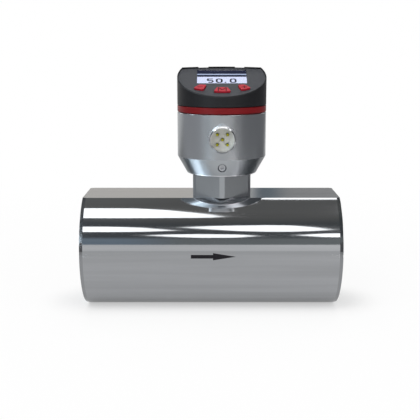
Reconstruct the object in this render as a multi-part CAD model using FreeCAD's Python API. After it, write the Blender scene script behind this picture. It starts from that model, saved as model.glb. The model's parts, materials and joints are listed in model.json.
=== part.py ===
import FreeCAD, Part
import math
import os

# Turbine flow meter, in millimetres. The origin is the middle of the inlet port's mouth,
# +X runs along the flow, +Z points up to the head, and the display looks towards -Y.

Vector = FreeCAD.Vector

# Driving sizes of the meter body
inlet_run = 56.85             # inlet face to the neck's axis
outlet_run = 48.15            # neck's axis to the outlet face
body_diameter = 50.0
end_bevel_length = 1.4        # shallow bevel at each end of the tube
end_bevel_depth = 0.3
flat_depth = 2.9              # flat milled along the top of the tube
flow_bore = 25.0
port_step = 2.65              # port's thread core stands this far outside the flow bore
port_depth = 20.0
port_lead_in = 0.4            # edge broken at the mouth
chamber_step = 0.6            # rotor chamber is this much tighter than the flow bore
chamber_length = 14.0

# Driving sizes of the retaining rings in the bore
retainer_land = 3.5           # from the port's inner cone to the ring
retainer_thickness = 1.2
retainer_height = 2.0
retainer_grip = 0.8           # depth of the ring's groove
retainer_opening = 40.0       # degrees left open

# Driving sizes of the supports, bearings and rotor
support_hub_diameter = 9.2
support_nose_length = 6.0
vane_count = 4
vane_thickness = 1.2
vane_lead_edge = 2.0
bush_diameter = 6.0
bush_length = 6.0
shaft_diameter = 3.0
rotor_hub_diameter = 9.0
rotor_hub_length = 11.4
blade_count = 6
blade_width = 9.0             # along the axis
blade_thickness = 1.0
blade_edge = 1.8              # tapered length at each edge
blade_lead = 72.0             # axial length of one turn of the blades' helix
tip_clearance = 0.5

# Driving sizes of the neck and the pickup inside it
spigot_diameter = 16.0
hex_shoulder = 3.875          # hexagon's flats stand this far outside the spigot
hex_corner_trim = 0.6         # corners are turned down by this much
hex_height = 8.85
pickup_wall = 2.2             # steel left between the well and the rotor chamber
pickup_floor = 0.8            # closed end of the spigot
pickup_bore = 12.0
neck_seal_section = 1.6
neck_seal_inset = 0.9         # from the spigot to the seal's groove
bobbin_length = 10.0
bobbin_flange = 0.9
bobbin_wall = 0.8
core_diameter = 3.2
coil_inset = 0.5
magnet_diameter = 7.0
magnet_length = 6.0
plug_thickness = 3.0
plug_hole = 3.0

# Driving sizes of the swivel
journal_diameter = 18.0
journal_tip = 0.7             # journal above the circlip
circlip_thickness = 1.0
circlip_height = 1.55
circlip_grip = 0.55
circlip_opening = 50.0        # degrees left open
swivel_seal_section = 1.0
swivel_seal_rise = 1.3        # above the housing's base

# Driving sizes of the housing
head_diameter = 36.6
housing_wall = 2.0
housing_floor = 6.0
base_diameter = 28.4          # housing's underside
base_bevel = 0.1              # height of the broken edge at its rim
cone_low_diameter = 28.8
cone_height = 7.0
housing_edge = 0.5            # chamfer at the top rim
floor_corner = 1.75           # slope between floor and wall inside
lock_screw_diameter = 3.4
lock_screw_length = 6.2
lock_screw_rise = 3.8         # above the housing's base
lock_screw_edge = 0.4         # chamfer of its outer end
lock_socket = 1.3             # across its hexagon socket
lock_socket_depth = 1.4

# Driving sizes of the round plug inlet
connector_lift = 3.6          # from the housing's floor to the boss
connector_diameter = 10.5
connector_boss_wall = 1.0
connector_boss_reach = 1.7    # boss inside the housing's wall
connector_spot_depth = 1.0    # flat cut into the round wall
connector_spot_margin = 0.05
connector_reach = 5.75        # shell in front of the round wall
connector_shoulder = 0.3
connector_foot = 0.4          # undercut at the shell's foot
connector_foot_gap = 0.15     # its reach in front of the round wall
connector_shell_wall = 0.85   # round the insert
connector_rim_wall = 0.6      # in front of it
connector_edge = 0.5          # chamfer of the shell's rim
connector_recess = 3.0        # insert's face behind the rim
insert_flange = 1.0           # thickness of the insert's wider front
connector_tail = 2.2          # shell behind the nut
nut_thickness = 1.5
nut_wall = 0.9
pin_diameter = 1.0
pin_well = 0.25               # ring of air round each pin at the insert's face
pin_well_depth = 0.6
pin_pitch = 3.96
pin_length = 2.0              # free length in front of the insert
pin_tail = 1.5
connector_seal_section = 0.6

# Driving sizes of the main board
board_thickness = 1.6
spacer_diameter = 2.4
spacer_height = 2.5
spacer_count = 3
board_hole = 9.0
screw_diameter = 1.5
screw_head_diameter = 2.6
screw_head_height = 1.2

# Driving sizes of the trim ring and the display cap
trim_height = 2.45
trim_edge = 0.2
cap_height = 15.07            # from the cap's shoulder to the top of its ridge
cap_wall = 2.0
cap_edge = 0.3                # chamfer of the cap's top edges
ridge_front = 8.2             # upper edge of the slanted face, behind the head's axis
crown_radius = 380.0          # the cap's top is slightly domed
ridge_notch_depth = 0.33
ridge_notch_width = 4.2
ridge_notch_offset = 7.65
face_slope = 22.5             # degrees
face_rim = 0.4                # cap's rim round the face plate
skirt_reach = 2.9             # skirt below the housing's rim
skirt_wall = 2.2
skirt_flange = 2.0
cap_ring_thickness = 0.8
cap_ring_height = 1.2
cap_ring_grip = 0.6
cap_ring_drop = 1.0           # below the housing's rim
cap_ring_opening = 36.0       # degrees left open
cap_ring_turn = 90.0          # opening's place, in degrees round the head from +X
cap_seal_section = 1.0
cap_seal_rise = 1.0           # above the housing's rim

# Driving sizes of the display and the keys on the slanted face
plate_thickness = 0.8
face_sink = 0.47              # plate lies this far below the cap's rim
face_wall = 1.4
window_side_margin = 8.2      # from the head's outside to the window's side
window_height = 13.0
window_top_margin = 2.28
window_corner = 0.4
window_thickness = 0.6
panel_thickness = 1.4
backlight_thickness = 2.5
display_boss_diameter = 2.6
display_boss_rise = 1.0
dome_diameter = 4.0
dome_height = 0.5
key_rim_inset = 3.1           # mode key's lower edge, from the head's outside
key_stand = 0.65              # keys stand above the plate
key_corner = 0.5
key_flange = 0.6
key_flange_thickness = 0.8
mode_key_top_width = 4.1
mode_key_gap = 4.95           # below the window
mode_key_half_angle = 13.0
side_key_inner = 6.3
side_key_inner_gap = 2.72
side_key_outer = 8.95
side_key_outer_gap = 2.47
side_key_inner_inset = 2.85   # its two lower corners, from the head's outside
side_key_inner_angle = 29.3
side_key_outer_inset = 1.9
side_key_outer_angle = 44.0

# Clearances
slip_clearance = 0.05         # radial, round pieces that are slid or pressed in
running_clearance = 0.04      # radial, shaft in bush
swivel_clearance = 0.06       # radial, housing on journal
swivel_gap = 0.25             # between faces that turn past each other
end_play = 0.3                # rotor between its bushes
groove_play = 0.05            # each side of a ring in its groove
cap_clearance = 0.25          # radial, cap's skirt in the housing
window_clearance = 0.1
key_clearance = 0.2
tip_gap = 0.25                # lock screw backed off from the journal
part_gap = 0.3                # between inner pieces that pass each other

# Places worked out from the driving sizes
body_length = inlet_run + outlet_run
body_radius = body_diameter / 2
flat_height = body_radius - flat_depth
bore_radius = flow_bore / 2
port_radius = bore_radius + port_step
chamber_radius = bore_radius - chamber_step
retainer_start = port_depth + port_step + retainer_land
vane_end = retainer_start + retainer_thickness + groove_play
hub_start = rotor_hub_length / 2 + end_play

spigot_radius = spigot_diameter / 2
hex_flat_radius = spigot_radius + hex_shoulder
hex_corner_radius = hex_flat_radius / math.cos(math.pi / 6) - hex_corner_trim
hex_top = flat_height + hex_height
well_floor = chamber_radius + pickup_wall
spigot_end = well_floor + part_gap
pickup_base = spigot_end + pickup_floor
magnet_base = pickup_base + bobbin_length
plug_base = magnet_base + magnet_length

journal_radius = journal_diameter / 2
housing_base = hex_top + swivel_gap
floor_top = housing_base + housing_floor
circlip_base = floor_top + swivel_gap
journal_top = circlip_base + circlip_thickness + journal_tip
circlip_radius = journal_radius - circlip_grip + circlip_height

head_radius = head_diameter / 2
cavity_radius = head_radius - housing_wall
connector_radius = connector_diameter / 2
boss_radius = connector_radius + connector_boss_wall
connector_height = floor_top + connector_lift + boss_radius
boss_face = cavity_radius - connector_boss_reach
spot_face = head_radius - connector_spot_depth
rim_face = head_radius + connector_reach
insert_face = rim_face - connector_recess
nut_back = boss_face - nut_thickness
shell_back = nut_back - connector_tail + nut_thickness
thread_radius = connector_radius - connector_shoulder
insert_radius = connector_radius - connector_shell_wall - slip_clearance
insert_shoulder = insert_face - insert_flange

housing_top = connector_height + boss_radius + part_gap + skirt_reach
trim_top = housing_top + trim_height
cap_base = trim_top + swivel_gap
ridge_top = cap_base + cap_height
slope = math.radians(face_slope)
face_height = ridge_top - ridge_front * math.tan(slope)
crown_middle = ridge_top - math.sqrt(crown_radius ** 2 - ridge_front ** 2)
crown_rise = face_height - crown_middle
ridge_circle = math.sqrt(crown_radius ** 2 - (crown_rise * math.cos(slope)) ** 2)
ridge_middle = -crown_rise * math.sin(slope)
skirt_radius = cavity_radius - cap_clearance
skirt_inner = skirt_radius - skirt_wall
skirt_end = housing_top - skirt_reach
cap_ring_base = housing_top - cap_ring_drop - cap_ring_thickness

board_base = floor_top + spacer_height
spacer_place = circlip_radius + part_gap + spacer_diameter / 2
board_radius = spacer_place + spacer_diameter / 2

plate_floor = -(face_sink + plate_thickness)
wall_inside = plate_floor - face_wall
window_width = 2 * (head_radius - window_side_margin)
window_top = ridge_front / math.cos(slope) - window_top_margin
window_low = window_top - window_height
window_floor = -face_sink - window_thickness
panel_top = window_floor - slip_clearance
backlight_top = panel_top - panel_thickness
display_board_top = backlight_top - backlight_thickness
display_board_base = display_board_top - board_thickness
display_boss_place = window_width / 2 + part_gap + display_boss_diameter / 2
far = 4 * head_diameter       # larger than anything that is cut

face_placement = FreeCAD.Placement(
    Vector(inlet_run, 0, face_height), FreeCAD.Rotation(Vector(1, 0, 0), face_slope)
)


# Shared ways of making a form

def outline_face(points):
    """Flat face inside a closed outline of straight edges."""
    return Part.Face(Part.makePolygon(points + points[:1]))


def turned_on_flow(profile):
    """Solid turned about the flow axis from (place along X, radius) points."""
    face = outline_face([Vector(place, 0, radius) for place, radius in profile])
    return face.revolve(Vector(0, 0, 0), Vector(1, 0, 0), 360)


def turned_on_neck(profile, angle=360.0, start=0.0):
    """Solid turned about the head's axis from (radius, height) points."""
    face = outline_face([Vector(inlet_run + radius, 0, height) for radius, height in profile])
    solid = face.revolve(Vector(inlet_run, 0, 0), Vector(0, 0, 1), angle)
    solid.rotate(Vector(inlet_run, 0, 0), Vector(0, 0, 1), start)
    return solid


def turned_on_plug(profile):
    """Solid turned about the plug inlet's axis from (distance in front of the head's axis, radius) points."""
    face = outline_face(
        [Vector(inlet_run, -place, connector_height + radius) for place, radius in profile]
    )
    return face.revolve(Vector(inlet_run, 0, connector_height), Vector(0, 1, 0), 360)


def upright_round(radius, low, high, x=inlet_run, y=0.0):
    """Upright cylinder between two heights."""
    return Part.makeCylinder(radius, high - low, Vector(x, y, low))


def front_round(radius, near, far_place, height, x=inlet_run):
    """Cylinder that points to the front, between two distances in front of the head's axis."""
    return Part.makeCylinder(radius, far_place - near, Vector(x, -near, height), Vector(0, -1, 0))


def front_face(shape):
    return max(shape.Faces, key=lambda face: -face.CenterOfMass.y)


def spread(shape, count, centre, axis, first=0.0):
    """Copies of a shape evenly spaced about an axis."""
    copies = []
    for index in range(count):
        copy = shape.copy()
        copy.rotate(centre, axis, first + index * 360.0 / count)
        copies.append(copy)
    return copies


def on_face(shape):
    """Moves a shape from the face's own axes (across, up the face, out of it) to its place on the head."""
    shape.Placement = face_placement.multiply(shape.Placement)
    return shape


def face_slab(low, high):
    """Layer parallel to the slanted face between two levels, wider than the head."""
    return on_face(Part.makeBox(far, far, high - low, Vector(-far / 2, -far / 2, low)))


def face_round(radius, low, high, across, up):
    """Cylinder that stands square to the slanted face."""
    return on_face(Part.makeCylinder(radius, high - low, Vector(across, up, low)))


def in_front_of(y):
    """Everything on the display's side of an upright plane."""
    return Part.makeBox(far, far, far, Vector(inlet_run - far / 2, y - far, face_height - far / 2))


def rounded_outline(corners, radius):
    """Closed outline through the corners, each rounded to the radius."""
    bends = []
    for index, here in enumerate(corners):
        back = (corners[index - 1] - here).normalize()
        ahead = (corners[(index + 1) % len(corners)] - here).normalize()
        half = back.getAngle(ahead) / 2
        inward = (back + ahead).normalize()
        centre = here + inward * (radius / math.sin(half))
        reach = radius / math.tan(half)
        bends.append((here + back * reach, centre - inward * radius, here + ahead * reach))
    edges = []
    for index, (start, middle, end) in enumerate(bends):
        edges.append(Part.Arc(start, middle, end).toShape())
        edges.append(Part.LineSegment(end, bends[(index + 1) % len(bends)][0]).toShape())
    return Part.Wire(edges)


def face_prism(outline, low, high):
    """Outline drawn on the slanted face, carried from one level to another."""
    shape = Part.Face(outline).extrude(Vector(0, 0, high - low))
    shape.translate(Vector(0, 0, low))
    return on_face(shape)


def fused(first, others):
    """One solid from pieces that overlap."""
    return first.fuse(others).removeSplitter()


def hexagon(flat_radius, first):
    """Corners of a hexagon about its middle, the first at an angle in degrees."""
    corner = flat_radius / math.cos(math.pi / 6)
    angles = [math.radians(first + 60 * index) for index in range(6)]
    return [(corner * math.cos(angle), corner * math.sin(angle)) for angle in angles]


# Meter tube and what is inside it

def meter_body():
    tube = turned_on_flow([
        (0, port_radius + port_lead_in),
        (0, body_radius - end_bevel_depth),
        (end_bevel_length, body_radius),
        (body_length - end_bevel_length, body_radius),
        (body_length, body_radius - end_bevel_depth),
        (body_length, port_radius + port_lead_in),
        (body_length - port_lead_in, port_radius),
        (body_length - port_depth, port_radius),
        (body_length - port_depth - port_step, bore_radius),
        (inlet_run + chamber_length / 2, bore_radius),
        (inlet_run + chamber_length / 2, chamber_radius),
        (inlet_run - chamber_length / 2, chamber_radius),
        (inlet_run - chamber_length / 2, bore_radius),
        (port_depth + port_step, bore_radius),
        (port_depth, port_radius),
        (port_lead_in, port_radius),
    ])
    above_flat = Part.makeBox(body_length, body_diameter, flat_depth, Vector(0, -body_radius, flat_height))
    well = upright_round(spigot_radius + slip_clearance, well_floor, body_radius)
    tube = tube.cut([above_flat, well])
    return tube.cut([retainer_groove(retainer_start), retainer_groove(outlet_retainer_start())])


def outlet_retainer_start():
    return body_length - retainer_start - retainer_thickness


def retainer_groove(start):
    low = start - groove_play
    high = start + retainer_thickness + groove_play
    groove = bore_radius + retainer_grip
    return turned_on_flow([(low, 0), (low, groove), (high, groove), (high, 0)])


def retainer(start):
    """Open ring sprung into its groove, with its opening at the bottom."""
    outer = bore_radius + retainer_grip - slip_clearance
    inner = outer - retainer_height
    end = start + retainer_thickness
    profile = [(start, inner), (start, outer), (end, outer), (end, inner)]
    face = outline_face([Vector(place, 0, radius) for place, radius in profile])
    ring = face.revolve(Vector(0, 0, 0), Vector(1, 0, 0), 360 - retainer_opening)
    ring.rotate(Vector(0, 0, 0), Vector(1, 0, 0), 180 + retainer_opening / 2)
    return ring


def support_hub(way, hub_radius, pocket_radius, vanes_stop):
    """Turned hub with the bush's pocket at its rotor end and a quarter-ellipse nose at the other."""
    pocket_end = hub_start + bush_length
    tip = vanes_stop + support_nose_length
    nose = Part.BezierCurve()
    nose.setPoles([flow_point(way * place, 0, z) for place, z in (
        (vanes_stop, hub_radius), (tip, hub_radius), (tip, 0),
    )])
    nose.setWeight(2, math.sqrt(0.5))
    straight = Part.makePolygon([flow_point(way * place, 0, z) for place, z in (
        (tip, 0),
        (pocket_end, 0),
        (pocket_end, pocket_radius),
        (hub_start, pocket_radius),
        (hub_start, hub_radius),
        (vanes_stop, hub_radius),
    )])
    outline = Part.Wire([nose.toShape()] + straight.Edges)
    return Part.Face(outline).revolve(Vector(0, 0, 0), Vector(1, 0, 0), 360)


def support(run, way):
    """Hub with a rounded nose and flow-straightening vanes, on one side of the rotor."""
    hub_radius = support_hub_diameter / 2
    pocket_radius = bush_diameter / 2
    vanes_stop = run - vane_end
    hub = support_hub(way, hub_radius, pocket_radius, vanes_stop)
    half = vane_thickness / 2
    shoulder = chamber_length / 2
    plan = [
        (shoulder, -half),
        (shoulder, half),
        (vanes_stop - vane_lead_edge, half),
        (vanes_stop, 0),
        (vanes_stop - vane_lead_edge, -half),
    ]
    root = (hub_radius + pocket_radius) / 2
    vane = outline_face([flow_point(way * place, side, root) for place, side in plan])
    vane = vane.extrude(Vector(0, 0, bore_radius - root))
    vanes = spread(vane, vane_count, Vector(0, 0, 0), Vector(1, 0, 0), 180.0 / vane_count)
    sleeve = Part.makeCylinder(bore_radius - slip_clearance, body_length, Vector(0, 0, 0), Vector(1, 0, 0))
    return fused(hub, [blade.common(sleeve) for blade in vanes])


def flow_point(distance, y=0.0, z=0.0):
    """Point at a distance downstream of the rotor's middle."""
    return Vector(inlet_run + distance, y, z)


def bearing(way):
    outer = bush_diameter / 2 - slip_clearance
    inner = shaft_diameter / 2 + running_clearance
    near = inlet_run + way * hub_start
    far_end = near + way * bush_length
    return turned_on_flow([(near, inner), (near, outer), (far_end, outer), (far_end, inner)])


def rotor_shaft():
    half = hub_start + bush_length - part_gap
    return Part.makeCylinder(shaft_diameter / 2, 2 * half, flow_point(-half), Vector(1, 0, 0))


def blade_section(radius):
    """Outline of one blade at a radius: a thin lozenge laid along the helix of the given lead."""
    turn = math.atan(2 * math.pi * radius / blade_lead)
    half = blade_width / 2
    body = half - blade_edge
    thick = blade_thickness / 2
    outline = [(-half, 0), (-body, thick), (body, thick), (half, 0), (body, -thick), (-body, -thick)]
    points = []
    for along, aside in outline:
        points.append(flow_point(
            along - aside * math.sin(turn),
            along * math.tan(turn) + aside * math.cos(turn),
            radius,
        ))
    return Part.makePolygon(points + points[:1])


def rotor():
    """Hub with helical blades, whose twist grows with the radius so that each follows one lead."""
    hub_radius = rotor_hub_diameter / 2
    tip_radius = chamber_radius - tip_clearance
    root = (hub_radius + shaft_diameter / 2) / 2
    stations = [root, (root + tip_radius) / 2, tip_radius + blade_thickness]
    blade = Part.makeLoft([blade_section(radius) for radius in stations], True, False)
    tip = Part.makeCylinder(tip_radius, rotor_hub_length, flow_point(-rotor_hub_length / 2), Vector(1, 0, 0))
    blades = spread(blade.common(tip), blade_count, Vector(0, 0, 0), Vector(1, 0, 0))
    half = rotor_hub_length / 2
    hub = Part.makeCylinder(hub_radius, rotor_hub_length, flow_point(-half), Vector(1, 0, 0))
    hole = Part.makeCylinder(
        shaft_diameter / 2 + slip_clearance, rotor_hub_length, flow_point(-half), Vector(1, 0, 0)
    )
    return fused(hub, blades).cut(hole)


# Neck and pickup

def neck():
    corners = [Vector(inlet_run + x, y, flat_height) for x, y in hexagon(hex_flat_radius, 90)]
    nut = outline_face(corners).extrude(Vector(0, 0, hex_height))
    nut = nut.common(upright_round(hex_corner_radius, flat_height, hex_top))
    spigot = upright_round(spigot_radius, spigot_end, flat_height)
    journal = upright_round(journal_radius, hex_top, journal_top)
    body = fused(nut, [spigot, journal])
    bore = upright_round(pickup_bore / 2, pickup_base, journal_top)
    return body.cut([bore, neck_seal_groove(), swivel_seal_groove(), circlip_groove()])


def neck_seal_groove():
    inner = spigot_radius + neck_seal_inset
    outer = inner + neck_seal_section + 2 * slip_clearance
    depth = neck_seal_section + 2 * slip_clearance
    high = flat_height + depth
    return turned_on_neck([(inner, flat_height), (outer, flat_height), (outer, high), (inner, high)])


def neck_seal():
    half = neck_seal_section / 2
    middle = spigot_radius + neck_seal_inset + slip_clearance + half
    return Part.makeTorus(middle, half, Vector(inlet_run, 0, flat_height + slip_clearance + half))


def swivel_seal_groove():
    half = swivel_seal_section / 2 + slip_clearance
    middle = housing_base + swivel_seal_rise
    floor = journal_radius - swivel_seal_section - 2 * slip_clearance
    return turned_on_neck([
        (floor, middle - half),
        (journal_radius + half, middle - half),
        (journal_radius + half, middle + half),
        (floor, middle + half),
    ])


def swivel_seal():
    half = swivel_seal_section / 2
    middle = Vector(inlet_run, 0, housing_base + swivel_seal_rise)
    return Part.makeTorus(journal_radius - half - slip_clearance, half, middle)


def circlip_groove():
    floor = journal_radius - circlip_grip
    low = circlip_base - groove_play
    high = circlip_base + circlip_thickness + groove_play
    return turned_on_neck([(floor, low), (circlip_radius, low), (circlip_radius, high), (floor, high)])


def swivel_circlip():
    inner = journal_radius - circlip_grip + slip_clearance
    high = circlip_base + circlip_thickness
    profile = [
        (inner, circlip_base), (circlip_radius, circlip_base), (circlip_radius, high), (inner, high),
    ]
    return turned_on_neck(profile, 360 - circlip_opening, circlip_opening / 2)


def pickup_bobbin():
    inner = core_diameter / 2 + slip_clearance
    tube = core_diameter / 2 + bobbin_wall
    flange = pickup_bore / 2 - slip_clearance
    return turned_on_neck([
        (inner, pickup_base),
        (flange, pickup_base),
        (flange, pickup_base + bobbin_flange),
        (tube, pickup_base + bobbin_flange),
        (tube, magnet_base - bobbin_flange),
        (flange, magnet_base - bobbin_flange),
        (flange, magnet_base),
        (inner, magnet_base),
    ])


def pickup_coil():
    inner = core_diameter / 2 + bobbin_wall
    outer = pickup_bore / 2 - coil_inset
    low = pickup_base + bobbin_flange
    high = magnet_base - bobbin_flange
    return turned_on_neck([(inner, low), (outer, low), (outer, high), (inner, high)])


def pickup_core():
    return upright_round(core_diameter / 2, pickup_base, magnet_base)


def pickup_magnet():
    return upright_round(magnet_diameter / 2, magnet_base, plug_base)


def pickup_plug():
    plug = upright_round(pickup_bore / 2 - slip_clearance, plug_base, plug_base + plug_thickness)
    return plug.cut(upright_round(plug_hole / 2, plug_base, plug_base + plug_thickness))


# Housing and what it carries

def cone_radius(height):
    """Outside of the housing's coned part at a height."""
    low = housing_base + base_bevel
    share = (height - low) / cone_height
    return cone_low_diameter / 2 + share * (head_radius - cone_low_diameter / 2)


def housing():
    cone_low = housing_base + base_bevel
    shell = turned_on_neck([
        (journal_radius + swivel_clearance, housing_base),
        (base_diameter / 2, housing_base),
        (cone_low_diameter / 2, cone_low),
        (head_radius, cone_low + cone_height),
        (head_radius, housing_top - housing_edge),
        (head_radius - housing_edge, housing_top),
        (cavity_radius, housing_top),
        (cavity_radius, floor_top + floor_corner),
        (cavity_radius - floor_corner, floor_top),
        (journal_radius + swivel_clearance, floor_top),
    ])
    boss = front_round(boss_radius, boss_face, head_radius, connector_height)
    shell = fused(shell, [boss.common(upright_round(head_radius, floor_top, housing_top))])
    spot = front_round(connector_radius + connector_spot_margin, spot_face, rim_face, connector_height)
    hole = front_round(thread_radius + slip_clearance, 0, head_radius, connector_height)
    screw_hole = front_round(
        lock_screw_diameter / 2 + slip_clearance, 0, head_radius, housing_base + lock_screw_rise
    )
    return shell.cut([spot, hole, screw_hole, cap_ring_groove()] + spacer_holes())


def spacer_holes():
    """Tapped holes in the floor for the board's screws."""
    hole = upright_round(
        screw_diameter / 2 + slip_clearance, screw_end(), floor_top, inlet_run, spacer_place
    )
    return spread(hole, spacer_count, Vector(inlet_run, 0, 0), Vector(0, 0, 1))


def screw_end():
    return floor_top - spacer_height


def lock_screw():
    tip = journal_radius + tip_gap
    height = housing_base + lock_screw_rise
    head = tip + lock_screw_length
    screw = front_round(lock_screw_diameter / 2, tip, head, height)
    screw = screw.makeChamfer(lock_screw_edge, front_face(screw).Edges)
    socket = [
        Vector(inlet_run + x, -head, height + z) for x, z in hexagon(lock_socket / 2, 90)
    ]
    return screw.cut(outline_face(socket).extrude(Vector(0, lock_socket_depth, 0)))


def connector_shell():
    bore = connector_radius - connector_shell_wall
    mouth = connector_radius - connector_rim_wall
    foot_radius = connector_radius - connector_foot
    foot_front = head_radius + connector_foot_gap
    shell = turned_on_plug([
        (shell_back, bore),
        (shell_back, thread_radius),
        (spot_face, thread_radius),
        (spot_face, foot_radius),
        (foot_front, foot_radius),
        (foot_front, connector_radius),
        (rim_face - connector_edge, connector_radius),
        (rim_face, connector_radius - connector_edge),
        (rim_face, mouth),
        (insert_shoulder, mouth),
        (insert_shoulder, bore),
    ])
    groove_depth = connector_seal_section + slip_clearance
    inner = connector_radius - connector_seal_section - 2 * slip_clearance
    groove = turned_on_plug([
        (spot_face, inner),
        (spot_face, connector_radius + slip_clearance),
        (spot_face + groove_depth, connector_radius + slip_clearance),
        (spot_face + groove_depth, inner),
    ])
    return shell.cut(groove)


def connector_seal():
    half = connector_seal_section / 2
    middle = Vector(inlet_run, -spot_face - half - slip_clearance / 2, connector_height)
    return Part.makeTorus(connector_radius - half - slip_clearance, half, middle, Vector(0, 1, 0))


def connector_insert():
    body = front_round(insert_radius, shell_back, insert_face, connector_height)
    flange_radius = connector_radius - connector_rim_wall - slip_clearance
    flange = front_round(flange_radius, insert_shoulder, insert_face, connector_height)
    holes = []
    for x, height in pin_places():
        holes.append(front_round(pin_diameter / 2 + slip_clearance, shell_back, insert_face, height, x))
        well = insert_face - pin_well_depth
        holes.append(front_round(pin_diameter / 2 + pin_well, well, insert_face, height, x))
    return fused(body, [flange]).cut(holes)


def pin_places():
    """One pin in the middle and four at the corners of a square."""
    half = pin_pitch / 2
    corners = [(inlet_run + x, connector_height + z) for x in (-half, half) for z in (-half, half)]
    return [(inlet_run, connector_height)] + corners


def connector_pins():
    tip = insert_face + pin_length
    tail = shell_back - pin_tail
    pins = []
    for x, height in pin_places():
        pin = front_round(pin_diameter / 2, tail, tip, height, x)
        pins.append(pin.makeFillet(pin_diameter / 4, front_face(pin).Edges))
    return Part.makeCompound(pins)


def connector_nut():
    corners = [
        Vector(inlet_run + x, -nut_back, connector_height + z)
        for x, z in hexagon(thread_radius + nut_wall, 0)
    ]
    nut = outline_face(corners).extrude(Vector(0, -nut_thickness, 0))
    nut = nut.common(front_round(boss_radius, nut_back, boss_face, connector_height))
    return nut.cut(front_round(thread_radius + slip_clearance, nut_back, boss_face, connector_height))


def main_board():
    board = upright_round(board_radius, board_base, board_base + board_thickness)
    board = board.cut(upright_round(board_hole / 2, board_base, board_base + board_thickness))
    behind_plug = in_front_of(-shell_back + part_gap)
    holes = spread(
        upright_round(
            screw_diameter / 2 + slip_clearance,
            board_base, board_base + board_thickness, inlet_run, spacer_place,
        ),
        spacer_count, Vector(inlet_run, 0, 0), Vector(0, 0, 1),
    )
    return board.cut([behind_plug] + holes)


def main_board_spacers():
    spacer = upright_round(spacer_diameter / 2, floor_top, board_base, inlet_run, spacer_place)
    spacer = spacer.cut(
        upright_round(screw_diameter / 2 + slip_clearance, floor_top, board_base, inlet_run, spacer_place)
    )
    return Part.makeCompound(spread(spacer, spacer_count, Vector(inlet_run, 0, 0), Vector(0, 0, 1)))


def main_board_screws():
    seat = board_base + board_thickness
    shank = upright_round(
        screw_diameter / 2, screw_end() + slip_clearance, seat, inlet_run, spacer_place
    )
    head = upright_round(screw_head_diameter / 2, seat, seat + screw_head_height, inlet_run, spacer_place)
    screw = fused(shank, [head])
    return Part.makeCompound(spread(screw, spacer_count, Vector(inlet_run, 0, 0), Vector(0, 0, 1)))


def trim_ring():
    return turned_on_neck([
        (cavity_radius, housing_top),
        (head_radius - trim_edge, housing_top),
        (head_radius, housing_top + trim_edge),
        (head_radius, trim_top - trim_edge),
        (head_radius - trim_edge, trim_top),
        (cavity_radius, trim_top),
    ])


def cap_ring_groove():
    low = cap_ring_base - groove_play
    high = cap_ring_base + cap_ring_thickness + groove_play
    outer = cavity_radius + cap_ring_grip
    return turned_on_neck([(skirt_radius, low), (outer, low), (outer, high), (skirt_radius, high)])


def cap_retainer():
    outer = cavity_radius + cap_ring_grip - slip_clearance
    inner = outer - cap_ring_height
    high = cap_ring_base + cap_ring_thickness
    profile = [(inner, cap_ring_base), (outer, cap_ring_base), (outer, high), (inner, high)]
    return turned_on_neck(profile, 360 - cap_ring_opening, cap_ring_turn + cap_ring_opening / 2)


# Display cap and what it carries

def display_cap():
    body = upright_round(head_radius, cap_base, ridge_top + cap_wall).common(crown(0))
    body = body.cut(face_slab(0, far).common(before_ridge(0)))
    body = body.makeChamfer(cap_edge, top_edges(body))
    recess = face_slab(plate_floor, far).common(before_ridge(face_rim))
    recess = recess.common(upright_round(head_radius - face_rim, cap_base, ridge_top + cap_wall))
    cavity = upright_round(head_radius - cap_wall, cap_base + skirt_flange, ridge_top - cap_wall)
    cavity = cavity.common(face_slab(-far, wall_inside))
    mouth = upright_round(skirt_inner, cap_base, cap_base + skirt_flange)
    body = body.cut([recess, cavity, mouth] + ridge_notches())
    body = fused(body, [skirt()] + display_bosses())
    openings = [window_opening(window_clearance, wall_inside)]
    openings += [key_opening(corners, key_clearance) for corners in key_outlines().values()]
    return body.cut(openings + display_screw_holes(wall_inside))


def crown(depth):
    """Ball whose surface is the domed top of the cap, or lies a depth below it."""
    return Part.makeSphere(crown_radius - depth, Vector(inlet_run, 0, crown_middle))


def before_ridge(inset):
    """Everything on the display's side of the ridge's front edge, which is where face and crown meet."""
    return face_round(ridge_circle - inset, -far, far, 0, ridge_middle)


def top_edges(body):
    """Outer edges of the slanted face and of the ridge behind it."""
    edges = []
    for edge in body.Edges:
        middle = edge.valueAt((edge.FirstParameter + edge.LastParameter) / 2)
        on_rim = math.hypot(middle.x - inlet_run, middle.y) > head_radius - cap_edge
        on_top = middle.z > cap_base + cap_edge
        if on_rim and on_top and edge.Curve.TypeId != "Part::GeomLine":
            edges.append(edge)
    return edges


def ridge_notches():
    """Two shallow slots through the ridge behind the face."""
    notches = []
    for side in (-1, 1):
        left = inlet_run + side * ridge_notch_offset - ridge_notch_width / 2
        corner = Vector(left, ridge_front / 2, ridge_top - cap_wall)
        slot = Part.makeBox(ridge_notch_width, head_diameter, cap_height, corner)
        notches.append(slot.cut(crown(ridge_notch_depth)))
    return notches


def skirt():
    """Round skirt that turns in the housing, with a groove for the spring ring and one for the seal."""
    ring_floor = cavity_radius + cap_ring_grip - cap_ring_height - cap_clearance - slip_clearance
    ring_low = cap_ring_base - part_gap
    ring_high = cap_ring_base + cap_ring_thickness + part_gap
    seal_half = cap_seal_section / 2 + slip_clearance
    seal_floor = skirt_radius - cap_seal_section - 2 * slip_clearance
    seal_middle = housing_top + cap_seal_rise
    return turned_on_neck([
        (skirt_inner, skirt_end),
        (skirt_radius, skirt_end),
        (skirt_radius, ring_low),
        (ring_floor, ring_low),
        (ring_floor, ring_high),
        (skirt_radius, ring_high),
        (skirt_radius, seal_middle - seal_half),
        (seal_floor, seal_middle - seal_half),
        (seal_floor, seal_middle + seal_half),
        (skirt_radius, seal_middle + seal_half),
        (skirt_radius, cap_base + skirt_flange),
        (skirt_inner, cap_base + skirt_flange),
    ])


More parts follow.
